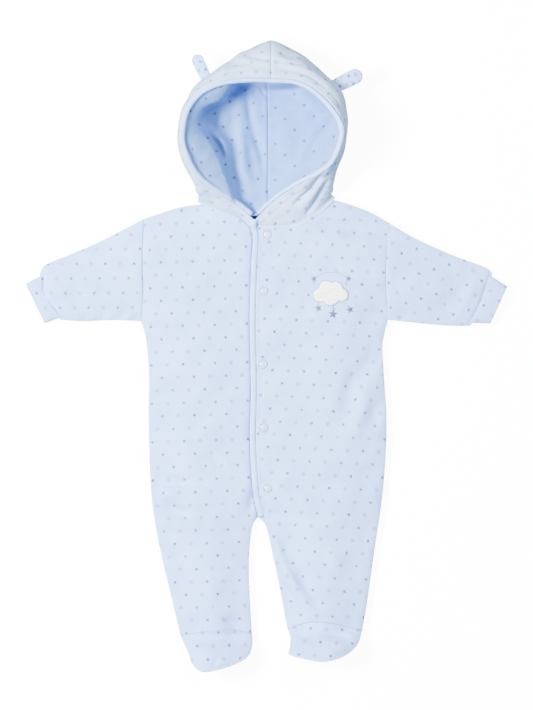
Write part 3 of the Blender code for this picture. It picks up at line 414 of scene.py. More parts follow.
def smooth_line(points, step=None, between=0):
    """The curve through the points: a point about every step, or as many points for each stretch."""
    knots = np.array(points, float)
    ends = np.vstack([2 * knots[0] - knots[1], knots, 2 * knots[-1] - knots[-2]])
    made = []
    for a, b, c, d in zip(ends, ends[1:], ends[2:], ends[3:]):
        count = between or max(1, int(round(np.linalg.norm(c - b) / step)))
        made += [curve_point(a, b, c, d, t) for t in np.arange(count) / count]
    return np.array(made + [knots[-1]])


def lengths_along(line):
    """How far along a line each of its points lies."""
    return np.r_[0, np.cumsum(np.linalg.norm(np.diff(line, axis=0), axis=1))]


def even_rows(guide, rows, count):
    """Values that go with the points of a line, at evenly spaced places on it."""
    steps = lengths_along(guide)
    at = np.linspace(0, steps[-1], count)
    return np.stack([np.interp(at, steps, column) for column in rows.T], 1)


def even_line(line, count):
    """The same line with evenly spaced points."""
    return even_rows(line, line, count)


def line_length(line):
    return float(np.linalg.norm(np.diff(line, axis=0), axis=1).sum())


def left_of(run):
    return np.stack([-run[:, 1], run[:, 0]], 1)


def offset_line(line, amount):
    """An open line moved to its left."""
    return line + left_of(unit(np.gradient(line, axis=0))) * amount


def near_line(points, line):
    """Distance of each point to an open line, and how far along the line the nearest place is."""
    best = np.full(len(points), 1e9)
    along = np.zeros(len(points))
    run = np.diff(line, axis=0)
    lengths = np.linalg.norm(run, axis=1)
    starts = np.r_[0, np.cumsum(lengths)]
    for a, r, size, start in zip(line[:-1], run, lengths, starts):
        t = np.clip((points[:, :2] - a) @ r / max(size * size, 1e-9), 0, 1)
        gap = np.hypot(*(points[:, :2] - a - t[:, None] * r).T)
        nearer = gap < best
        best[nearer] = gap[nearer]
        along[nearer] = (start + t * size)[nearer]
    return best, along


def closed_distance(points, outline):
    return near_line(points, np.vstack([outline, outline[:1]]))[0]


def inside(points, outline):
    """True for each point within a closed outline."""
    x, y = points[:, 0], points[:, 1]
    odd = np.zeros(len(points), bool)
    for (x1, y1), (x2, y2) in zip(outline, np.roll(outline, -1, axis=0)):
        crosses = (y1 > y) != (y2 > y)
        rise = y2 - y1 if y2 != y1 else 1e-9
        odd ^= crosses & (x < x1 + (y - y1) * (x2 - x1) / rise)
    return odd


def waves(points, height, size, seed):
    """Smooth uneven ripples between about -height and height, about size across."""
    dice = np.random.default_rng(seed)
    total = np.zeros(len(points))
    for _ in range(WAVE_COUNT):
        angle = dice.uniform(0, 2 * math.pi)
        stretch = dice.uniform(0.6, 1.6)
        way = np.array((math.cos(angle), math.sin(angle))) * 2 * math.pi / (size * stretch)
        total += np.sin(points[:, :2] @ way + dice.uniform(0, 2 * math.pi))
    return height * (total / WAVE_SCALE)


def fold_sum(points, folds, depth=1.0):
    """Sum of the folds at each point: each fades towards its ends and is a little uneven along its length."""
    total = np.zeros(len(points))
    for number, (route, width, height) in enumerate(folds):
        line = smooth_line(route, 4.0)
        size = line_length(line)
        gap, along = near_line(points, line)
        t = along / size
        fade = np.sin(math.pi * np.clip(t * 0.92 + 0.04, 0, 1)) ** 0.6
        uneven = 1 + 0.18 * np.sin(along / 9.0 + number * 1.7)
        total += height * uneven * fade * np.exp(-((gap / width) ** 2))
    return total * depth


def pucker_sum(points):
    total = np.zeros(len(points))
    for x, y, length, width, height in PUCKERS:
        up = points[:, 1] - y
        across = points[:, 0] - x - up * 0.12
        reach = np.clip(1 - up / length, 0, 1) * (up > -3)
        total += height * reach * np.exp(-((across / width) ** 2))
    return total


# --- the body's surfaces ---


class Site:
    """Points of one panel with what its surfaces need: distance to the rolled edges and rise of the feet."""

    def __init__(self, points):
        self.points = points
        self.distance = np.full(len(points), 1e9)
        for edge in ROLLED_EDGES:
            self.distance = np.minimum(self.distance, near_line(points, smooth_line(edge, 6.0))[0])
        x, y = points[:, 0], points[:, 1]
        self.rise = np.zeros(len(points))
        self.above = np.full(len(points), BODY_HEIGHT - SEAM_LEVEL)
        self.below = np.full(len(points), SEAM_LEVEL)
        self.crown_width = np.full(len(points), CROWN_WIDTH)
        for side, mine in (("right", x < CROTCH_X), ("left", x >= CROTCH_X)):
            foot = FEET[side]
            t = np.clip((foot["ankle"] - y) / (foot["ankle"] - foot["toe"]), 0, 1)
            swell = ease(t * 1.6)
            self.rise = np.where(mine, foot["rise"] * t * t * (1.75 - 0.75 * t), self.rise)
            self.above += mine * (foot["above"] - self.above) * swell
            self.below += mine * (foot["below"] - self.below) * swell
            self.crown_width += mine * (FOOT_CROWN - CROWN_WIDTH) * swell

    def roll(self, width):
        t = 1 - np.clip((self.distance + EDGE_BLUNT) / width, 0, 1)
        return np.sqrt(np.clip(1 - t * t, 0, 1))

    def seam(self):
        return SEAM_LEVEL + self.rise

    def top(self):
        near = np.clip(self.distance / CALM_EDGE, 0, 1)
        detail = fold_sum(self.points, FOLDS, FOLD_DEPTH) * near
        detail += PUCKER_DEPTH * pucker_sum(self.points) * np.clip(self.distance / PUCKER_EDGE, 0, 1)
        detail += near * sum(waves(self.points, *wave) for wave in WAVES)
        share = self.distance / self.crown_width
        fullness = (1 - SOFT_SHARE) * self.roll(EDGE_ROUND) + SOFT_SHARE * ease(share)
        return self.seam() + self.above * fullness + PADDING * ease(share) - SAG * ease(share - 1) + detail

    def under(self):
        return np.maximum(self.seam() - self.below * self.roll(UNDER_ROUND), 0.0)

    def half_hollow(self):
        share = np.clip((self.distance - HOLLOW_START) / HOLLOW_RISE, 0, 1)
        return SEAM_GAP / 2 + (HOLLOW - SEAM_GAP) / 2 * share


# --- mesh making ---


def add_mesh(name, points, faces, uvs, looks, node=None):
    """One object from points in millimetres; uvs are in millimetres too, one for each point."""
    mesh = bpy.data.meshes.new(name)
    mesh.from_pydata([tuple(float(c) * MM for c in p) for p in points], [], faces)
    work = bmesh.new()
    work.from_mesh(mesh)
    bmesh.ops.recalc_face_normals(work, faces=work.faces)
    work.to_mesh(mesh)
    work.free()
    if uvs is not None:
        layer = mesh.uv_layers.new(name="Print")
        corners = np.zeros(len(mesh.loops), int)
        mesh.loops.foreach_get("vertex_index", corners)
        layer.data.foreach_set("uv", (np.asarray(uvs, float)[corners] * MM).ravel())
    mesh.shade_smooth()
    mesh.materials.append(looks)
    thing = bpy.data.objects.new(name, mesh)
    bpy.context.scene.collection.objects.link(thing)
    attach(thing, "root")
    if node:
        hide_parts(node)
    return thing


def add_wall(name, points, tops, bottoms, faces, looks, node=None):
    """A closed wall over the triangles of a panel, between two heights for each point."""
    solid = [(x, y, z) for level in (tops, bottoms) for (x, y), z in zip(points, level)]
    shell = closed_faces(faces, len(points))
    return add_mesh(name, solid, shell, np.vstack([points, points]), looks, node)


def closed_faces(faces, count):
    """The faces of a wall from those of its top, whose points come first."""
    shell = list(faces) + [tuple(i + count for i in reversed(f)) for f in faces]
    sides = set()
    for face in faces:
        sides.update(zip(face, face[1:] + face[:1]))
    for a, b in sides:
        if (b, a) not in sides:
            shell.append((b, a, a + count, b + count))
    return shell


def inset_line(outline, amount):
    """A closed outline moved inwards along its normals."""
    normal = left_of(unit(np.roll(outline, -1, axis=0) - np.roll(outline, 1, axis=0)))
    shifted = outline + normal * amount
    if not inside(shifted[:1], outline)[0]:
        shifted = outline - normal * amount
    return shifted


def panel_triangles(outline, step, rings):
    """Points and triangles of a panel: its outline, rings just inside it and an even field."""
    made = [outline]
    for amount in rings:
        ring = inset_line(outline, amount)
        keep = inside(ring, outline) & (closed_distance(ring, outline) > amount * 0.93)
        made.append(ring[keep])
    low, high = outline.min(0), outline.max(0)
    field = []
    for row, y in enumerate(np.arange(low[1], high[1], step * 0.87)):
        xs = np.arange(low[0] + (row % 2) * step / 2, high[0], step)
        field.append(np.stack([xs, np.full(len(xs), y)], 1))
    field = np.vstack(field)
    field = field[inside(field, outline)]
    made.append(field[closed_distance(field, outline) > rings[-1] + step * 0.5])
    points = np.vstack(made)
    edges = [(i, (i + 1) % len(outline)) for i in range(len(outline))]
    result = delaunay_2d_cdt([Vector((float(x), float(y))) for x, y in points], edges,
                             [list(range(len(outline)))], 1, 1e-6)
    return np.array([(v.x, v.y) for v in result[0]]), [tuple(f) for f in result[2]]


def panel(name, node, outline, step, rings, low, high, looks, edge_dip=EDGE_DIP):
    """A padded wall over an outline, between two heights that come from its site."""
    points, faces = panel_triangles(outline, step, rings)
    site = Site(points)
    bottom, top = low(site), high(site)
    own = closed_distance(points, outline)
    dip = edge_dip * np.exp(-own / SEAM_WIDTH) * np.clip((top - bottom - 2.0) / 2.0, 0, 1)
    thing = add_wall(name, points, np.maximum(top - dip, bottom + 0.5), bottom, faces, looks, node)


# --- materials ---


class Nodes:
    """Short calls for building a material's node tree."""

    def __init__(self, name):
        self.material = bpy.data.materials.new(name)
        self.material.use_nodes = True
        self.tree = self.material.node_tree
        self.shader = self.tree.nodes["Principled BSDF"]

    def add(self, kind, **settings):
        node = self.tree.nodes.new(kind)
        for key, value in settings.items():
            setattr(node, key, value)
        return node

    def put(self, source, socket):
        if isinstance(source, (int, float, tuple)):
            socket.default_value = source
        else:
            self.tree.links.new(source, socket)

    def finish(self, values):
        """Sets the shader's values or links by socket, and gives the material."""
        for key, value in values.items():
            self.put(value, self.shader.inputs[key])
        return self.material

    def math(self, operation, a, b=0.0):
        node = self.add("ShaderNodeMath", operation=operation)
        self.put(a, node.inputs[0])
        self.put(b, node.inputs[1])
        return node.outputs[0]

    def ramp(self, value, low, high, start=0.0, end=1.0):
        node = self.add("ShaderNodeMapRange", interpolation_type="SMOOTHSTEP")
        keys = ("Value", "From Min", "From Max", "To Min", "To Max")
        for given, key in zip((value, low, high, start, end), keys):
            self.put(given, node.inputs[key])
        return node.outputs[0]

    def mix(self, share, a, b):
        node = self.add("ShaderNodeMix", data_type="RGBA")
        self.put(share, node.inputs["Factor"])
        self.put(a, node.inputs["A"])
        self.put(b, node.inputs["B"])
        return node.outputs["Result"]

    def noise(self, where, scale, detail=2.0, rough=0.5):
        node = self.add("ShaderNodeTexNoise")
        self.put(where, node.inputs["Vector"])
        node.inputs["Scale"].default_value = scale
        node.inputs["Detail"].default_value = detail
        node.inputs["Roughness"].default_value = rough
        return node.outputs["Fac"]

    def bump(self, height, distance, strength=1.0, before=None):
        node = self.add("ShaderNodeBump")
        self.put(height, node.inputs["Height"])
        node.inputs["Distance"].default_value = distance
        node.inputs["Strength"].default_value = strength
        if before is not None:
            self.put(before, node.inputs["Normal"])
        return node.outputs["Normal"]


def dot_share(nodes, u, v, lattice, shift, radius, soft, wobble):
    """1 on a dot of a slanted lattice and 0 off it. The sizes are in millimetres."""
    def both(operation, a, b):
        return nodes.math(operation, a, b)

    def weighed(a, first, b, second):
        return both("ADD", both("MULTIPLY", a, first), both("MULTIPLY", b, second))

    def from_middle(value, moved):
        return both("SUBTRACT", nodes.math("FRACT", both("ADD", value, moved)), 0.5)

    (ax, ay), (bx, by), (x0, y0) = lattice
    size = ax * by - ay * bx
    u, v = both("SUBTRACT", u, x0), both("SUBTRACT", v, y0)
    a = from_middle(weighed(u, by / size, v, -bx / size), FAR_ROW + shift)
    b = from_middle(weighed(u, -ay / size, v, ax / size), FAR_ROW)
    x, y = weighed(a, ax, b, bx), weighed(a, ay, b, by)
    gap = nodes.math("SQRT", both("ADD", both("MULTIPLY", x, x), both("MULTIPLY", y, y)))
    return nodes.ramp(both("ADD", gap, wobble), radius - soft, radius + soft, 1.0, 0.0)


def printed(nodes, place, colour, lattice, dark, pale):
    """The colour of the cloth with the print of dark and pale dots on it, a little uneven as on real pile."""
    uv = nodes.add("ShaderNodeUVMap", uv_map="Print").outputs["UV"]
    parts = nodes.add("ShaderNodeSeparateXYZ")
    nodes.put(uv, parts.inputs[0])
    u, v = (nodes.math("MULTIPLY", parts.outputs[i], 1 / MM) for i in (0, 1))
    wobble = nodes.math("MULTIPLY", nodes.math("SUBTRACT", nodes.noise(place, 420.0, 1.0), 0.5), 1.5)
    patchy = nodes.ramp(nodes.noise(place, 60.0, 1.0), 0.3, 0.7, 0.78, 1.0)
    strong = dot_share(nodes, u, v, lattice, 0.0, DARK_DOT, 0.55, wobble)
    weak = dot_share(nodes, u, v, lattice, 0.5, PALE_DOT, 0.8, wobble)
    colour = nodes.mix(nodes.math("MULTIPLY", weak, nodes.math("MULTIPLY", patchy, 0.9)), colour, pale)
    return nodes.mix(nodes.math("MULTIPLY", strong, patchy), colour, dark)


def shaded(colour, *shares):
    """A darker or lighter tone of a colour, by one share or one for each channel."""
    shares = shares * 3 if len(shares) == 1 else shares
    return (*[c * share for c, share in zip(colour, shares)], 1)


def cloth_look(name, lattice, base, dark=DARK_INK, pale=PALE_INK, nap=1.0):
    """Short-piled cloth; with a lattice it has the print of dots."""
    nodes = Nodes(name)
    place = nodes.add("ShaderNodeTexCoord").outputs["Object"]
    mottle = nodes.noise(place, 26.0, 3.0)
    fine = nodes.noise(place, 520.0, 2.0, 0.7)
    patch = nodes.noise(place, 85.0, 3.0, 0.6)
    tone = nodes.math("ADD", nodes.math("MULTIPLY", mottle, 0.55), nodes.math("MULTIPLY", patch, 0.45))
    colour = nodes.mix(nodes.ramp(tone, 0.34, 0.66), shaded(base, 0.90, 0.915, 0.95), shaded(base, 1.06))
    colour = nodes.mix(nodes.ramp(fine, 0.3, 0.75, 0.0, 0.16), colour, shaded(base, 0.78))
    if lattice:
        colour = printed(nodes, place, colour, lattice, dark, pale)
    pile = nodes.add("ShaderNodeTexVoronoi", feature="F1")
    nodes.put(place, pile.inputs["Vector"])
    pile.inputs["Scale"].default_value = 1300.0
    loops = nodes.math("MULTIPLY", pile.outputs["Distance"], 0.5)
    height = nodes.math("ADD", nodes.math("MULTIPLY", fine, 0.8), loops)
    rough_bump = nodes.bump(height, 0.00035 * nap, 0.55)
    soft_bump = nodes.bump(nodes.noise(place, 95.0, 2.0), 0.0011 * nap, 0.5, rough_bump)
    return nodes.finish({
        "Base Color": colour, "Normal": soft_bump, "Roughness": nodes.ramp(mottle, 0.3, 0.7, 0.86, 0.98),
        "Sheen Weight": SHEEN, "Sheen Roughness": 0.55, "Sheen Tint": (0.62, 0.76, 1.0, 1),
        "Specular IOR Level": 0.15,
    })


# The hood's lining: the same cloth, its darker base colour painted shade of the hollow it lines
def painted_shade_lining_look(name, lattice):
    return cloth_look(name, lattice, LINING_IN_PAINTED_SHADE, pale=PALE_ON_LINING, nap=FLAT_NAP)


def thread_look(name, colour):
    nodes = Nodes(name)
    grain = nodes.noise(nodes.add("ShaderNodeTexCoord").outputs["Object"], 900.0, 2.0)
    return nodes.finish({
        "Base Color": nodes.mix(grain, shaded(colour, 0.86), (*colour, 1)),
        "Roughness": nodes.ramp(grain, 0.3, 0.7, 0.5, 0.68),
        "Normal": nodes.bump(grain, 0.0002, 0.6), "Sheen Weight": 0.2,
    })


def pearl_look(name, colour, rough):
    nodes = Nodes(name)
    cloud = nodes.noise(nodes.add("ShaderNodeTexCoord").outputs["Object"], 240.0, 3.0)
    return nodes.finish({
        "Base Color": nodes.mix(nodes.ramp(cloud, 0.35, 0.65), shaded(colour, 0.9), (*colour, 1)),
        "Roughness": nodes.ramp(cloud, 0.3, 0.7, rough, rough + 0.12),
        "Coat Weight": 0.5, "Coat Roughness": 0.2,
    })


def make_looks():
    return {
        "front_right": cloth_look("velour right front", PRINT_FRONT_RIGHT, CLOTH),
        "front_left": cloth_look("velour left front", PRINT_FRONT_LEFT, CLOTH),
        "sleeve_right": cloth_look("velour right sleeve", PRINT_SLEEVE_RIGHT, CLOTH),
        "sleeve_left": cloth_look("velour left sleeve", PRINT_SLEEVE_LEFT, CLOTH),
        "hood": cloth_look("velour hood", PRINT_HOOD, HOOD_CLOTH, DARK_ON_HOOD),
        "ear": cloth_look("velour ears", PRINT_EAR, CLOTH),
        "lining_right": painted_shade_lining_look("right hood lining in painted shade", PRINT_LINING_RIGHT),
        "lining_left": painted_shade_lining_look("left hood lining in painted shade", PRINT_LINING_LEFT),
        "trim": cloth_look("plain binding", None, TRIM, nap=FLAT_NAP),
        "thread": thread_look("sewing thread", SEWING_THREAD),
        "white thread": thread_look("white embroidery", WHITE_THREAD),
        "grey thread": thread_look("grey-blue embroidery", GREY_THREAD),
        "ring": pearl_look("stud ring", STUD_RING, 0.22),
        "pearl": pearl_look("stud pearl", STUD_PEARL, 0.14),
    }


# --- body pieces ---

FRONT_RINGS = (0.7, 1.7, 3.0, 4.6, 6.6, 9.0)  # distances of the rows of points just inside an outline
BACK_RINGS = (0.8, 2.2, 4.2, 6.5)
FOOT_RINGS = (0.6, 1.5, 2.7, 4.2, 6.2)
SOLE_RINGS = (0.6, 1.6, 3.2, 5.4)
LAP_RINGS = (1.0, 3.0)


def front_low(site):
    return site.seam() + site.half_hollow()


def back_high(site):
    return site.seam() - site.half_hollow()


def flat_level(height):
    return lambda site: np.full(len(site.points), height)


def seam_run(*edges):
    """Points along edges that follow each other; each edge leaves out its first point."""
    return [smooth_line(edge, OUTLINE_STEP)[1:] for edge in edges]


def make_fronts():
    edge = smooth_line(FRONT_EDGE, OUTLINE_STEP)
    edge_in = offset_line(edge, BAND_WIDTH + SEAM_GAP)
    neck = smooth_line(NECK_LEFT, OUTLINE_STEP)
    neck = neck[neck[:, 0] > edge_in[0, 0] + 1.5]
    leg = smooth_line(INSIDE_LEG_LEFT, OUTLINE_STEP)
    leg = leg[leg[:, 0] > edge_in[-1, 0] + 1]
    ankle, = seam_run(ANKLE_LEFT)
    up = [smooth_line(line, OUTLINE_STEP)[::-1][1:] for line in (SIDE_LEFT, ARMHOLE_LEFT, SHOULDER_LEFT)]
    outline = np.vstack([edge_in, leg, ankle, *up, neck[::-1][1:]])
    panel("left_front", "front_left", outline, FIELD_STEP, FRONT_RINGS, front_low, stitched_top,
          LOOKS["front_left"])

    seam = offset_line(edge, -SEAM_GAP)
    neck = smooth_line(NECK_RIGHT, OUTLINE_STEP)
    neck = neck[neck[:, 0] < seam[0, 0] - 1.5]
    leg = smooth_line(INSIDE_LEG_RIGHT, OUTLINE_STEP)
    leg = leg[leg[:, 0] < seam[-1, 0] - 0.5]
    down = seam_run(SHOULDER_RIGHT, ARMHOLE_RIGHT, SIDE_RIGHT, ANKLE_RIGHT)
    outline = np.vstack([seam[::-1], neck[::-1], *down, leg[::-1][1:]])
    panel("right_front", "front_right", outline, FIELD_STEP, FRONT_RINGS, front_low, lapped_top,
          LOOKS["front_right"])

    lap_line = seam[(seam[:, 1] > LAP_Y[0]) & (seam[:, 1] < LAP_Y[1])]
    outline = np.vstack([lap_line, offset_line(lap_line, LAP_WIDTH)[::-1]])
    low, high = (flat_level(SEAM_LEVEL + rise) for rise in (-LAP_HALF, LAP_HALF))
    looks = LOOKS["front_right"]
    panel("under_lap", "underlap", outline, LAP_STEP, LAP_RINGS, low, high, looks, edge_dip=0.0)


def stitch_line():
    """Second row of sewing beside the front band."""
    return offset_line(smooth_line(FRONT_EDGE, 4.0), BAND_WIDTH + SECOND_ROW)


def stitched_top(site):
    """The left front, drawn in along its sewing and dimpled by the studs."""
    level = site.top()
    gap, along = near_line(site.points, stitch_line())
    level -= SEWING_DEPTH * np.exp(-((gap / 1.5) ** 2)) * (1 + 0.25 * np.sin(along * 0.9))
    for number, (x, y) in enumerate(SNAPS, start=1):
        away = np.hypot(site.points[:, 0] - x, site.points[:, 1] - y)
        share = np.exp(-((away / (SNAP_RADIUS * SNAP_DIMPLE)) ** 4))
        level = level * (1 - share) + (stud_floor(number) + 0.1) * share
    return level


def stud_floor(number):
    """Height of the cloth under a press stud."""
    return float(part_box(f"snap_{number}")[0][2]) / MM


def lapped_top(site):
    """The right front sinks a little where it passes under the left one."""
    gap, along = near_line(site.points, smooth_line(FRONT_EDGE, 4.0))
    uneven = 1 + 0.35 * np.sin(along / 31.0)
    groove = GROOVE_DEPTH * np.exp(-((gap / GROOVE_WIDTH) ** 2))
    return site.top() - LAP_SINK * uneven * np.exp(-((gap / LAP_SINK_WIDTH) ** 2)) - groove


def make_band():
    """The binding of the front edge: soft, rounded and slightly waved by its sewing."""
    edge = even_line(smooth_line([BAND_START] + FRONT_EDGE, 2.0), 236)
    middle = offset_line(edge, BAND_WIDTH / 2)
    run = unit(np.gradient(middle, axis=0))
    site = Site(middle)
    base = front_low(site) + 0.1
    crest = np.minimum(site.top(), BODY_HEIGHT + 1.0) + 0.6
    along = lengths_along(middle)
    crest += BAND_RISE * ease((middle[:, 1] - 136) / 12)
    crest += 0.16 * np.sin(along / 7.3) + 0.1 * np.sin(along / 2.9 + 1)
    points, uvs = [], []
    for spot, aside, low, high, length in zip(middle, left_of(run), base, crest, along):
        for across, up in BAND_PROFILE:
            x, y = spot + aside * across * BAND_WIDTH
            points.append((x, y, low + (high - low) * up))
            uvs.append((across * BAND_WIDTH, length))
    faces = tube(len(middle), len(BAND_PROFILE))
    thing = add_mesh("front_edge_band", points, faces, uvs, LOOKS["trim"], "front_band")


def tube(stations, sides):
    """Faces of a closed tube with capped ends over stations of points."""
    faces = []
    for s in range(stations - 1):
        for k in range(sides):
            n = (k + 1) % sides
            faces.append((s * sides + k, s * sides + n, (s + 1) * sides + n, (s + 1) * sides + k))
    faces.append(tuple(range(sides)))
    faces.append(tuple((stations - 1) * sides + k for k in reversed(range(sides))))
    return faces


def make_back():
    edges = [
        SHOULDER_RIGHT, ARMHOLE_RIGHT, SIDE_RIGHT, ANKLE_RIGHT, INSIDE_LEG_RIGHT[::-1], INSIDE_LEG_LEFT,
        ANKLE_LEFT, SIDE_LEFT[::-1], ARMHOLE_LEFT[::-1], SHOULDER_LEFT[::-1], BACK_NECK[::-1],
    ]
    outline = np.vstack([smooth_line(edge, OUTLINE_STEP)[:-1] for edge in edges])
    panel("back_panel", "back", outline, BACK_STEP, BACK_RINGS, Site.under, back_high, LOOKS["front_right"],
          edge_dip=0.0)


def ring_wall(stations):
    """Points and faces of a tube with open ends, from stations of (outer ring, inner ring)."""
    points, faces = [], []
    size = len(stations[0][0])
    for outer, inner in stations:
        points += [tuple(p) for p in outer] + [tuple(p) for p in inner]
    for s in range(len(stations) - 1):
        a, b = s * 2 * size, (s + 1) * 2 * size
        for k in range(size):
            n = (k + 1) % size
            faces.append((a + k, a + n, b + n, b + k))
            faces.append((a + size + n, a + size + k, b + size + k, b + size + n))
    last = (len(stations) - 1) * 2 * size
    for k in range(size):
        n = (k + 1) % size
        faces.append((k, size + k, size + n, n))
        faces.append((last + n, last + size + n, last + size + k, last + k))
    return points, faces


def flat_station(row, up, down, wall, half_gap, fold_gap):
    """Outer and inner ring of a flattened tube over a row from fold to fold, its inside half_gap high."""
    middle, reach = (row[0] + row[-1]) / 2, np.linalg.norm(row[0] - row[-1]) / 2
    inner_row = middle + (row - middle) * (1 - wall / reach)
    half = np.full(len(row), half_gap)
    half[0] = half[-1] = fold_gap
    outer = np.vstack([np.c_[row, up], np.c_[row[::-1], down[::-1]]])
    roof, floor = SEAM_LEVEL + half, SEAM_LEVEL - half
    return outer, np.vstack([np.c_[inner_row, roof], np.c_[inner_row[::-1], floor[::-1]]])


def add_flat_tube(name, stations, looks, node):
    points, faces = ring_wall(stations)
    return add_mesh(name, points, faces, [p[:2] for p in points], looks, node)


def fold_to_fold(count):
    """Shares across a flattened tube, closer together at its two folds."""
    return 0.5 - 0.5 * np.cos(np.linspace(0, math.pi, count))


def make_sleeve(side, top_edge, under_edge, armhole, hem, outward):
    """A tube from the armhole to the cuff, flattened, its two folded edges on the outline."""
    count, across = 46, 44
    upper = even_line(smooth_line(top_edge, 2.0), count)
    lower = even_line(smooth_line(under_edge, 2.0)[::-1], count)
    spread = fold_to_fold(across)
    bows = []
    for edge in (armhole, hem):
        line = even_line(smooth_line(edge, 2.0), across)
        bent = np.stack([np.interp(spread, np.linspace(0, 1, across), line[:, i]) for i in (0, 1)], 1)
        bows.append(bent - (line[0] + spread[:, None] * (line[-1] - line[0])))
    t = np.linspace(0, 1, count)[:, None, None]
    rows = upper[:, None] + spread[None, :, None] * (lower - upper)[:, None] + bows[0] * (1 - t) + bows[1] * t
    rows[0, :, 0] += outward * SEAM_GAP
    flat = rows.reshape(-1, 2)
    site = Site(flat)
    tops, unders = site.top().reshape(count, across), site.under().reshape(count, across)
    from_arm, from_hem = (near_line(flat, smooth_line(edge, 3.0))[0] for edge in (armhole, hem))
    drop = ARM_DIP * np.exp(-from_arm / SEAM_WIDTH) + HEM_DROP * np.exp(-((from_hem / HEM_WIDTH) ** 2))
    tops -= drop.reshape(count, across)
    folded = np.isin(np.arange(across), (0, across - 1))
    tops = np.where(folded, SEAM_LEVEL + FOLD_HALF, np.maximum(tops, SEAM_LEVEL + FOLD_HALF + 0.1))
    unders = np.where(folded, SEAM_LEVEL - FOLD_HALF, unders)
    stations = [flat_station(row, up, down, SLEEVE_WALL, HOLLOW / 2, FOLD_HALF)
                for row, up, down in zip(rows, tops, unders)]
    node = f"sleeve_{side}"
    thing = add_flat_tube(f"{side}_sleeve", stations, LOOKS[node], node)


def make_cuff(side, hem, wrist):
    """A short flattened tube from the sleeve's end to the wrist, gathered a little at the sleeve."""
    across, count = 30, 14
    spread = fold_to_fold(across)
    end = even_line(smooth_line(hem, 4.0), 41)
    places = CUFF_INSET + spread * (1 - 2 * CUFF_INSET)
    start = np.stack([np.interp(places, np.linspace(0, 1, 41), end[:, i]) for i in (0, 1)], 1)
    finish = np.array(wrist[0]) + spread[:, None] * (np.array(wrist[1]) - np.array(wrist[0]))
    outward = unit(finish.mean(0) - start.mean(0))
    dome = np.sqrt(np.clip(1 - (2 * spread - 1) ** 4, 0, 1))
    down = np.maximum(SEAM_LEVEL - CUFF_FOLD_HALF - (SEAM_LEVEL - CUFF_FOLD_HALF) * dome, 0.0)
    stations = []
    for t in np.linspace(0, 1, count):
        row = start - outward * CUFF_TUCK + (finish - start + outward * CUFF_TUCK) * t
        height = CUFF_HEIGHT / 2 * (1 - CUFF_TAPER * t) * (1 - CUFF_PINCH * (1 - t) ** 3)
        gather = GATHER_HEIGHT * np.sin(spread * 31.0 + 1.0) * (1 - t) ** 1.5 * dome
        sewing = CUFF_SEWING_DEPTH * math.exp(-(((t - CUFF_SEWING) / CUFF_SEWING_WIDTH) ** 2))
        up = SEAM_LEVEL + CUFF_FOLD_HALF + (height - CUFF_FOLD_HALF) * dome + gather - sewing * dome
        stations.append(flat_station(row, up, down, CUFF_WALL, CUFF_HALF_GAP, CUFF_FOLD_HALF))
    thing = add_flat_tube(f"{side}_cuff", stations, LOOKS[f"sleeve_{side}"], f"cuff_{side}")


def foot_top(side):
    def level(site):
        folds = fold_sum(site.points, FOOT_FOLDS[side], FOOT_FOLD_DEPTH)
        return site.top() + folds * np.clip(site.distance / 6, 0, 1)
    return level


def make_foot(side, foot_edge, ankle):
    """Top and sole of one foot, which meet in a seam along the foot's outline."""
    toes = smooth_line(foot_edge, FOOT_STEP)
    seam = smooth_line(ankle, OUTLINE_STEP) + np.array((0, -SEAM_GAP))
    if np.linalg.norm(toes[0] - seam[0]) < np.linalg.norm(toes[-1] - seam[0]):
        seam = seam[::-1]
    outline = np.vstack([toes[1:-1], seam])
    looks = LOOKS[f"front_{side}"]
    upper = foot_top(side)
    panel(f"{side}_foot_top", f"foot_top_{side}", outline, FOOT_STEP, FOOT_RINGS, front_low, upper, looks)
    panel(f"{side}_foot_sole", f"sole_{side}", outline, SOLE_STEP, SOLE_RINGS, Site.under, back_high, looks,
          edge_dip=0.0)


# --- hood ---


def hood_grid(lines):
    """Points of one half of the hood's outside: rows along the rim, columns from the rim to the seam."""
    grid = []
    for row in smooth_line(np.array(lines, float).reshape(len(lines), 12), between=HOOD_ROWS_BETWEEN):
        rim, bulge, turn, foot = row.reshape(4, 3)
        under = turn * 0.45 + foot * 0.55
        under[2] = foot[2] + 0.12 * max(turn[2] - foot[2], 0.0)
        path = smooth_line([rim, bulge, turn, under, foot], 1.0)
        path[:, 2] = np.maximum(path[:, 2], 0.0)
        grid.append(even_line(path, HOOD_TURNS))
    return np.array(grid)


def grid_normals(grid, side):
    """Unit normals of a grid, pointing to the hood's inside."""
    normal = unit(np.cross(np.gradient(grid, axis=1), np.gradient(grid, axis=0)) * side)
    for _ in range(NORMAL_SMOOTHING):
        near = np.pad(normal, ((1, 1), (1, 1), (0, 0)), mode="edge")
        normal = unit(near[:-2, 1:-1] + near[2:, 1:-1] + near[1:-1, :-2] + near[1:-1, 2:] + 2 * normal)
    rows = len(grid)
    first = ease(np.arange(rows) / 5.0)[:, None]
    last = ease(np.arange(rows)[::-1] / 9.0)[:, None]
    normal[..., 0] *= first * last
    return unit(normal)


def neck_thinning(rows, columns):
    """Share of the wall's thickness at each point: it is thin where the neck is gathered."""
    row = np.clip((np.arange(rows) / (rows - 1) - NECK_START) / NECK_LENGTH, 0, 1)[:, None]
    column = np.linspace(0, 1, columns)[None, :]
    return 1 - NECK_THINNING * ease(row) * ease(column * 1.5)


def keep_side(grid, side):
    """Holds one half of the hood on its own side of the centre seam, down to the neck."""
    limit = HOOD_CENTRE + side * HOOD_SEAM / 2
    sideways = np.maximum(grid[..., 0], limit) if side > 0 else np.minimum(grid[..., 0], limit)
    grid[..., 0] = np.where(grid[..., 1] > HOOD_SEAM_END, sideways, grid[..., 0])
    return grid


def grid_faces(rows, columns, shift, flip):
    faces = []
    for r in range(rows - 1):
        for c in range(columns - 1):
            a = shift + r * columns + c
            face = (a, a + 1, a + columns + 1, a + columns)
            faces.append(face[::-1] if flip else face)
    return faces


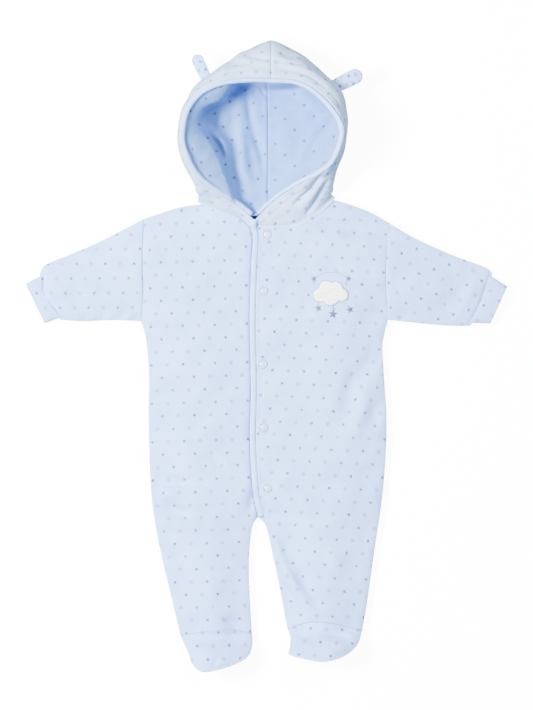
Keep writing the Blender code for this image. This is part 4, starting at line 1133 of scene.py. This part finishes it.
def grid_wall(name, node, near, far, looks):
    """A closed wall between two grids of the same size, its print laid out by lengths along the cloth."""
    rows, columns = near.shape[:2]
    count = rows * columns
    faces = grid_faces(rows, columns, 0, False) + grid_faces(rows, columns, count, True)
    rim = list(range(columns)) + [r * columns + columns - 1 for r in range(1, rows)]
    rim += [(rows - 1) * columns + c for c in range(columns - 2, -1, -1)]
    rim += [r * columns for r in range(rows - 2, 0, -1)]
    for a, b in zip(rim, rim[1:] + rim[:1]):
        faces.append((a, count + a, count + b, b))
    uvs = cloth_lengths(near)
    points = np.vstack([near.reshape(-1, 3), far.reshape(-1, 3)])
    thing = add_mesh(name, points, faces, np.vstack([uvs, uvs]), looks, node)


def row_lengths(grid):
    return np.linalg.norm(np.diff(grid, axis=1), axis=2).sum(1)


def cloth_lengths(grid):
    """Where each point of a grid lies on the flat cloth: its length along the rim and down from the rim."""
    along = lengths_along(grid[:, 0])
    down = np.c_[np.zeros(len(grid)), np.cumsum(np.linalg.norm(np.diff(grid, axis=1), axis=2), axis=1)]
    return np.stack([np.broadcast_to(along[:, None], down.shape), down], 2).reshape(-1, 2)


def make_hood():
    rims = {}
    for name, lines, side in (("left", HOOD_LEFT_LINES, 1), ("right", HOOD_RIGHT_LINES, -1)):
        outside = keep_side(hood_grid(lines), side)
        inward = grid_normals(outside, side)
        moved = inward * hood_relief(outside)[..., None]
        skin = keep_side(outside - moved, side)
        thickness = HOOD_WALL * neck_thinning(*outside.shape[:2])[..., None]
        wall = keep_side(outside + inward * thickness - moved, side)
        grid_wall(f"{name}_hood", f"hood_{name}", skin, wall, LOOKS["hood"])
        rims[name] = (outside[:, 0], outside[:, 2], inward[:, 0])
    make_binding(rims)
    make_lining(rims)


def hood_relief(outside):
    """How far each point of the hood's outside stands out, by its folds, padding, hem and centre seam."""
    rows, columns = outside.shape[:2]
    calm = np.ones((rows, columns))
    calm[:, -8:] *= np.linspace(1, 0, 8)[None]
    calm[:4] *= np.linspace(0.3, 1, 4)[:, None]
    seen = ease((outside[..., 2] - HOOD_PLAIN[0]) / HOOD_PLAIN[1]) * calm
    plan = outside.reshape(-1, 3)
    relief = (fold_sum(plan, HOOD_FOLDS) + waves(plan, *HOOD_WAVES)).reshape(rows, columns) * seen
    from_rim = np.linspace(0, 1, columns)[None] * row_lengths(outside)[:, None]
    relief -= HOOD_HEM_DEPTH * np.exp(-((from_rim - HOOD_HEM) / HOOD_HEM_WIDTH) ** 2) * seen
    seam = HOOD_SEAM_DEPTH * np.exp(-np.abs(outside[..., 0] - HOOD_CENTRE) / HOOD_SEAM_WIDTH)
    return relief - seam * ease((outside[..., 1] - HOOD_SEAM_END) / 5.0)


class Inside:
    """The hollow of the hood seen through its opening: two flaps that fall to a back with soft folds."""

    def __init__(self, rims):
        self.rim = np.vstack([rims["right"][0][::-1], rims["left"][0][1:]])

    def flap(self, points, floor, side):
        edge = smooth_line(FLAPS[side], 3.0)
        outline = np.vstack([self.rim_beside(side), edge[::-1]])[:, :2]
        from_rim, along_rim = near_line(points, self.rim[:, :2])
        from_edge, along_edge = near_line(points, edge[:, :2])
        rim_level = level_along(self.rim, along_rim) - FLAP_BELOW_RIM
        edge_level = level_along(edge, along_edge)
        share = from_rim / np.maximum(from_rim + from_edge, 1e-6)
        bulge = FLAP_BULGE * np.sin(math.pi * share)
        within = rim_level * (1 - share) + edge_level * share + bulge
        softness = FLAP_SOFTNESS[side]
        fall = np.exp(-((from_edge / softness) ** 1.5))
        foot = FLAP_FOOT[side] * np.exp(-(((from_edge - softness) / FLAP_FOOT_WIDTH) ** 2))
        beyond = floor + np.maximum(edge_level - floor, 0) * fall - foot
        return np.where(inside(points, outline), within, beyond)

    def rim_beside(self, side):
        """The stretch of the rim that a flap hangs from."""
        x, y = self.rim[:, 0], self.rim[:, 1]
        meet = int(np.argmin(np.where(y > 250, np.abs(x - FLAPS_MEET_X), 1e9)))
        return self.rim[:meet][::-1] if side == "right" else self.rim[meet:]

    def level(self, points):
        ys, levels = np.array(LINING_LEVELS).T
        floor = np.interp(points[:, 1], ys, levels) + LINING_SIDE_RISE * np.abs(points[:, 0] - HOOD_CENTRE)
        right, left = (self.flap(points, floor, side) for side in ("right", "left"))
        made = LINING_BLEND * np.logaddexp(right / LINING_BLEND, left / LINING_BLEND)
        made -= LINING_BLEND * math.log(2) * np.exp(-np.abs(right - left) / LINING_BLEND)
        folds = fold_sum(points, LINING_FOLDS) + waves(points, *LINING_WAVES)
        made += folds * np.clip(near_line(points, self.rim[:, :2])[0] / CALM_EDGE, 0, 1)
        seam = near_line(points, smooth_line(LINING_SEAM, 2.0))[0]
        made -= HOOD_SEAM_DEPTH * np.exp(-((seam / 1.1) ** 2))
        made += LINING_SEAM_RIDGE * np.exp(-(((seam - 2.6) / 1.6) ** 2))
        return LINING_LOWEST + 1.6 * np.logaddexp((made - LINING_LOWEST) / 1.6, 0.0)


def level_along(line, along):
    return np.interp(along, lengths_along(line[:, :2]), line[:, 2])


def make_lining(rims):
    """The two halves of the lining, with a seam down the back of the hood."""
    hollow = Inside(rims)
    rim = even_line(hollow.rim, LINING_POINTS)[3:-3, :2]
    flat = offset_line(rim, -LINING_GAP)
    if not inside(flat[LINING_POINTS // 2:][:1], rim)[0]:
        flat = offset_line(rim, LINING_GAP)
    seam = smooth_line(LINING_SEAM, LINING_STEP)
    top = int(np.argmin(np.where(flat[:, 1] > 280, np.abs(flat[:, 0] - seam[0, 0]), 1e9)))
    low = int(np.argmin(np.linalg.norm(flat - seam[-1], axis=1)))
    seam = seam[1:-1]
    halves = {
        "right": np.vstack([flat[:top + 1], seam, flat[low:]]),
        "left": np.vstack([seam[::-1], flat[top:low]]),
    }
    for side, outline in halves.items():
        points, faces = panel_triangles(outline, LINING_STEP, (0.8, 2.0))
        level = hollow.level(points)
        thing = add_wall(f"{side}_hood_lining", points, level, level - LINING_WALL, faces,
                         LOOKS[f"lining_{side}"], f"hood_lining_{side}")


def make_binding(rims):
    """A soft oval edge on the hood's rim, from the V over the top and back to the V."""
    parts = []
    for name in ("right", "left"):
        rim, below, inward = rims[name]
        outward = unit(rim - below)
        middle = rim + inward * (HOOD_WALL + SEAM_GAP + LINING_WALL) / 2
        parts.append((middle + outward * (BINDING_HEIGHT / 2 + SEAM_GAP), outward, inward))
    whole = [np.vstack([right[::-1], left[1:]])[BINDING_SKIP:-BINDING_SKIP] for right, left in zip(*parts)]
    stations, sides = 420, 16
    centre, outward, inward = (even_rows(whole[0], part, stations) for part in whole)
    outward, inward = unit(outward), unit(inward)
    points, uvs = [], []
    along = np.linspace(0, 1, stations) * line_length(centre)
    for spot, out, across, length in zip(centre, outward, inward, along):
        plump = 1 + 0.05 * math.sin(length / 5.1) + 0.04 * math.sin(length / 2.3)
        for k in range(sides):
            angle = 2 * math.pi * k / sides
            points.append(spot + out * math.cos(angle) * BINDING_HEIGHT / 2 * plump
                          + across * math.sin(angle) * BINDING_WIDTH / 2 * plump)
            uvs.append((length, angle * 3))
    thing = add_mesh("hood_edge_binding", points, tube(stations, sides), uvs, LOOKS["trim"], "hood_binding")
    length = line_length(centre) * MM


def make_ear(side):
    """A flat rounded tab of two layers, with a seam round its edge and a soft middle."""
    ear = EARS[side]
    base, tip = np.array(ear["base"]), np.array(ear["tip"])
    length = np.linalg.norm(tip - base)
    axis = (tip - base) / length
    across = np.array((-axis[1], axis[0]))
    straight = 1 - ear["width"] / 2 / length
    stations, ring = 40, 36
    points, uvs = [], []
    for s in range(stations):
        t = s / (stations - 1)
        reach = 1 - (1 - t) ** 1.6
        past = max(reach - straight, 0) / (1 - straight)
        half = ear["width"] / 2 * math.sqrt(max(1 - past * past, 0.003))
        half *= 0.86 + 0.14 * float(ease(reach * 1.6))
        thick = ear["thick"] / 2 * math.sqrt(max(1 - reach**3, 0.02))
        for k in range(ring):
            angle = 2 * math.pi * k / ring
            rise = math.copysign(abs(math.sin(angle)) ** 0.8, math.sin(angle))
            spot = base + axis * length * reach + across * half * math.cos(angle)
            points.append((spot[0], spot[1], ear["level"] + thick * rise))
            uvs.append((spot[0], spot[1]))
    thing = add_mesh(f"{side}_ear", points, tube(stations, ring), uvs, LOOKS["ear"], f"ear_{side}")


# --- fastenings, sewing and motif ---


def lathe(centre, profile, sides):
    """Points and faces of a turned piece from (radius, height), its first point on the axis."""
    x, y, z = centre
    points, faces = [(x, y, z + profile[0][1])], []
    for radius, height in profile[1:]:
        for k in range(sides):
            angle = 2 * math.pi * k / sides
            points.append((x + radius * math.cos(angle), y + radius * math.sin(angle), z + height))
    for k in range(sides):
        faces.append((0, 1 + k, 1 + (k + 1) % sides))
    for ring in range(len(profile) - 2):
        a, b = 1 + ring * sides, 1 + (ring + 1) * sides
        for k in range(sides):
            n = (k + 1) % sides
            faces.append((a + k, b + k, b + n, a + n))
    last = 1 + (len(profile) - 2) * sides
    faces.append(tuple(last + k for k in reversed(range(sides))))
    return points, faces


def make_snaps():
    """Press-stud caps: a smooth ring, a groove and a pearly dome."""
    sides = 48
    r = SNAP_RADIUS
    for number, (x, y) in enumerate(SNAPS, start=1):
        floor = stud_floor(number) - 0.4
        arc = [math.pi * k / 9 for k in range(10)]
        ring = [(0.0, 0.5), (r * 0.60, 0.5)]
        ring += [(r * (0.80 - 0.19 * math.cos(a)), 0.85 + 1.25 * math.sin(a) ** 0.8) for a in arc[1:]]
        ring.append((r * 0.96, 0.0))
        points, faces = lathe((x, y, floor), ring, sides)
        add_mesh(f"stud_ring_{number}", points, faces, None, LOOKS["ring"], f"snap_{number}")
        dome = [(0.0, 1.75)] + [(r * 0.58 * math.sin(a), 0.6 + 1.15 * math.cos(a)) for a in
                                (math.pi * k / 16 for k in range(1, 9))]
        points, faces = lathe((x, y, floor), dome, sides)
        add_mesh(f"stud_pearl_{number}", points, faces, None, LOOKS["pearl"], None)


# Sections of one stitch: place along it, half width and height, as shares of its sizes
STITCH = [(-0.5, 0.0, 0.0), (-0.3, 0.5, 0.55), (0.0, 0.62, 0.7), (0.3, 0.5, 0.55), (0.5, 0.0, 0.0)]


def stitches(name, line, level, looks, pitch=3.1, length=2.2, width=0.55, height=0.5):
    """Sewing along a line on the cloth: one small rounded stitch after another."""
    centres = even_line(line, max(3, int(line_length(line) / pitch)))
    run = unit(np.gradient(centres, axis=0))
    points, faces = [], []
    for centre, ahead, aside, z in zip(centres, run, left_of(run), level(centres)):
        first = len(points)
        for along, across, up in STITCH:
            middle = centre + ahead * along * length
            for sign in (-1, 0, 1):
                x, y = middle + aside * sign * max(across, 0.08) * width
                points.append((x, y, z + (1.0 if sign == 0 else 0.25) * max(up, 0.12) * height))
            points.append((*middle, z - 0.25))
        for k in range(len(STITCH) - 1):
            a, b = first + 4 * k, first + 4 * (k + 1)
            for i, j in ((0, 1), (1, 2), (2, 3), (3, 0)):
                faces.append((a + i, b + i, b + j, a + j))
        faces.append((first + 3, first + 2, first + 1, first))
        last = first + 4 * (len(STITCH) - 1)
        faces.append((last, last + 1, last + 2, last + 3))
    add_mesh(name, points, faces, None, looks, None)


def make_sewing():
    def on(surface, sink):
        return lambda points: surface(Site(points)) - sink

    thread = LOOKS["thread"]
    stitches("sewing_front_inner", stitch_line()[2:-3], on(stitched_top, 0.1), thread)
    outer = offset_line(smooth_line(FRONT_EDGE, 3.0), BAND_WIDTH + 1.0)[2:-3]
    stitches("sewing_front_outer", outer, on(stitched_top, 1.0), thread, width=0.45)
    for name, hole, side in (("right", ARMHOLE_RIGHT, 1), ("left", ARMHOLE_LEFT, -1)):
        line = offset_line(smooth_line(hole, 3.0), side * ARMHOLE_SEWING)[2:-2]
        stitches(f"sewing_armhole_{name}", line, on(Site.top, 0.45), thread, pitch=3.4, length=1.9)
    for name, neck, first, last in (("right", NECK_RIGHT, 6, -4), ("left", NECK_LEFT, 4, -2)):
        line = offset_line(smooth_line(neck, 3.0), -NECK_SEWING)[first:last]
        stitches(f"sewing_neck_{name}", line, on(Site.top, 0.35), thread)


def blob(outline, crown, name, looks):
    """A raised satin-stitched shape on the left front."""
    points, faces = panel_triangles(outline, 1.2, (0.35, 0.9, 1.7))
    own = closed_distance(points, outline)
    ground = stitched_top(Site(points))
    raised = crown * np.sqrt(np.clip(1 - (1 - np.clip(own / 1.6, 0, 1)) ** 2, 0, 1))
    add_wall(name, points, ground + 0.35 + raised, ground - 0.4, faces, looks)


def circle_union(circles):
    """Outline of overlapping circles, (x, y, radius), seen from their common middle."""
    middle = np.mean([(x, y) for x, y, _ in circles], axis=0)
    made = []
    for angle in np.linspace(0, 2 * math.pi, 96, endpoint=False):
        way = np.array((math.cos(angle), math.sin(angle)))
        reach = 0.0
        for x, y, radius in circles:
            offset = np.array((x, y)) - middle
            along = offset @ way
            inside_root = radius * radius - (offset @ offset - along * along)
            if inside_root > 0:
                reach = max(reach, along + math.sqrt(inside_root))
        made.append(middle + way * reach)
    return np.array(made)


def star(centre, radius, turn):
    made = []
    for k in range(10):
        angle = turn + math.pi / 2 + k * math.pi / 5
        size = radius if k % 2 == 0 else radius * 0.46
        made.append((centre[0] + size * math.cos(angle), centre[1] + size * math.sin(angle)))
    return smooth_line(made + [made[0]], 0.9)[:-1]


# Motif on the left chest
PUFFS = [(59, 66, 7.4), (66, 73, 8.6), (76, 72.5, 8.2), (83, 66, 7.0), (71, 64, 9.4)]  # x, y, radius
PUFF_ARCS = [[(60, 64), (63, 68), (67, 67)], [(70, 70), (74, 73), (78, 70)], [(68, 59), (72, 62), (76, 60)]]
STARS = [((56.9, 51.6), 4.4, 0.2), ((73, 45), 5.4, -0.15), ((91.7, 50), 4.6, 0.35), ((52, 84), 3.6, 0.1),
         ((90, 84), 3.6, -0.3)]  # centre, radius, turn
THREADS = [[(57, 56), (57.4, 57.5), (57.2, 59)], [(73, 50), (73.4, 52), (73, 54)],
           [(90, 54.5), (87, 57), (85, 60)], [(55, 86), (63, 90), (71, 91), (79, 90), (87, 86)]]


def make_motif():
    """Generic embroidery on the left chest: a white cloud on a thread, small stars round it."""
    def ground(points):
        return stitched_top(Site(points))

    grey = LOOKS["grey thread"]
    cloud = circle_union(PUFFS)
    blob(cloud, 1.3, "motif_cloud", LOOKS["white thread"])
    rim = offset_line(np.vstack([cloud, cloud[:1]]), -0.5)
    stitches("motif_outline", rim, ground, grey, 2.2, 1.7, 0.75, 0.9)
    for number, route in enumerate(PUFF_ARCS, start=1):
        line = smooth_line(route, 1.0)
        stitches(f"motif_puff_{number}", line, lambda p: ground(p) + 1.8, grey, 1.8, 1.4, 0.6)
    for number, (centre, radius, turn) in enumerate(STARS, start=1):
        blob(star(centre, radius, turn), 0.8, f"motif_star_{number}", grey)
    for number, route in enumerate(THREADS, start=1):
        stitches(f"motif_thread_{number}", smooth_line(route, 1.0), ground, grey, 2.1, 1.6, 0.7, 0.7)


# --- stage ---

# In metres
FRAME_HEIGHT = 0.781  # what the picture shows from top to bottom at the height of the front
CAMERA_DISTANCE = 6.0
SENSOR = 24.0  # millimetres
FLOOR_HALF = 4.0
FLOOR_DROP = 0.0006
FLOOR_GLOW = 11.0
WORLD_LIGHT = 0.6
LIGHTS = [  # name, place, size, power
    ("key", (-1.5, 0.15, 1.9), 0.8, 348),
    ("fill", (1.2, 1.4, 2.2), 1.8, 85),
]


def place_object(name, data, where):
    thing = bpy.data.objects.new(name, data)
    thing.location = where
    bpy.context.scene.collection.objects.link(thing)
    return thing


def make_stage():
    mesh = bpy.data.meshes.new("floor")
    corners = [(x * FLOOR_HALF, y * FLOOR_HALF, 0) for x, y in ((-1, -1), (1, -1), (1, 1), (-1, 1))]
    mesh.from_pydata(corners, [], [(0, 1, 2, 3)])
    floor = place_object("floor", mesh, (0, 0, -FLOOR_DROP))
    nodes = Nodes("pale floor")
    mesh.materials.append(nodes.finish({
        "Base Color": (0.93, 0.93, 0.935, 1), "Roughness": 0.9, "Specular IOR Level": 0.1,
        "Emission Color": (1, 1, 1, 1), "Emission Strength": FLOOR_GLOW,
    }))
    floor.visible_diffuse = False  # so that its glow does not light the cloth from below
    floor.visible_glossy = False


def make_light():
    world = bpy.data.worlds.new("studio")
    bpy.context.scene.world = world
    world.use_nodes = True
    back = world.node_tree.nodes["Background"]
    back.inputs["Color"].default_value = (1, 1, 1, 1)
    back.inputs["Strength"].default_value = WORLD_LIGHT
    for name, where, size, power in LIGHTS:
        lamp = bpy.data.lights.new(name, "AREA")
        lamp.shape = "SQUARE"
        lamp.size = size
        lamp.energy = power
        thing = place_object(name, lamp, where)
        thing.rotation_euler = (-Vector(where)).to_track_quat("-Z", "Y").to_euler()


def make_camera():
    lens = bpy.data.cameras.new("camera")
    lens.sensor_fit = "VERTICAL"
    lens.sensor_height = SENSOR
    lens.lens = SENSOR * CAMERA_DISTANCE / FRAME_HEIGHT
    lens.clip_end = 5 * CAMERA_DISTANCE
    bpy.context.scene.camera = place_object("camera", lens, (0, 0, CAMERA_DISTANCE + BODY_HEIGHT * MM))


make_camera()
make_stage()
make_light()
LOOKS = make_looks()
make_fronts()
make_band()
make_back()
make_sleeve("right", SLEEVE_TOP_RIGHT, SLEEVE_UNDER_RIGHT, ARMHOLE_RIGHT, SLEEVE_HEM_RIGHT, -1)
make_sleeve("left", SLEEVE_TOP_LEFT, SLEEVE_UNDER_LEFT, ARMHOLE_LEFT, SLEEVE_HEM_LEFT, 1)
make_cuff("right", SLEEVE_HEM_RIGHT, WRIST_RIGHT)
make_cuff("left", SLEEVE_HEM_LEFT, WRIST_LEFT)
make_foot("right", FOOT_RIGHT, ANKLE_RIGHT)
make_foot("left", FOOT_LEFT, ANKLE_LEFT)
make_hood()
make_ear("right")
make_ear("left")
make_snaps()
make_sewing()
make_motif()
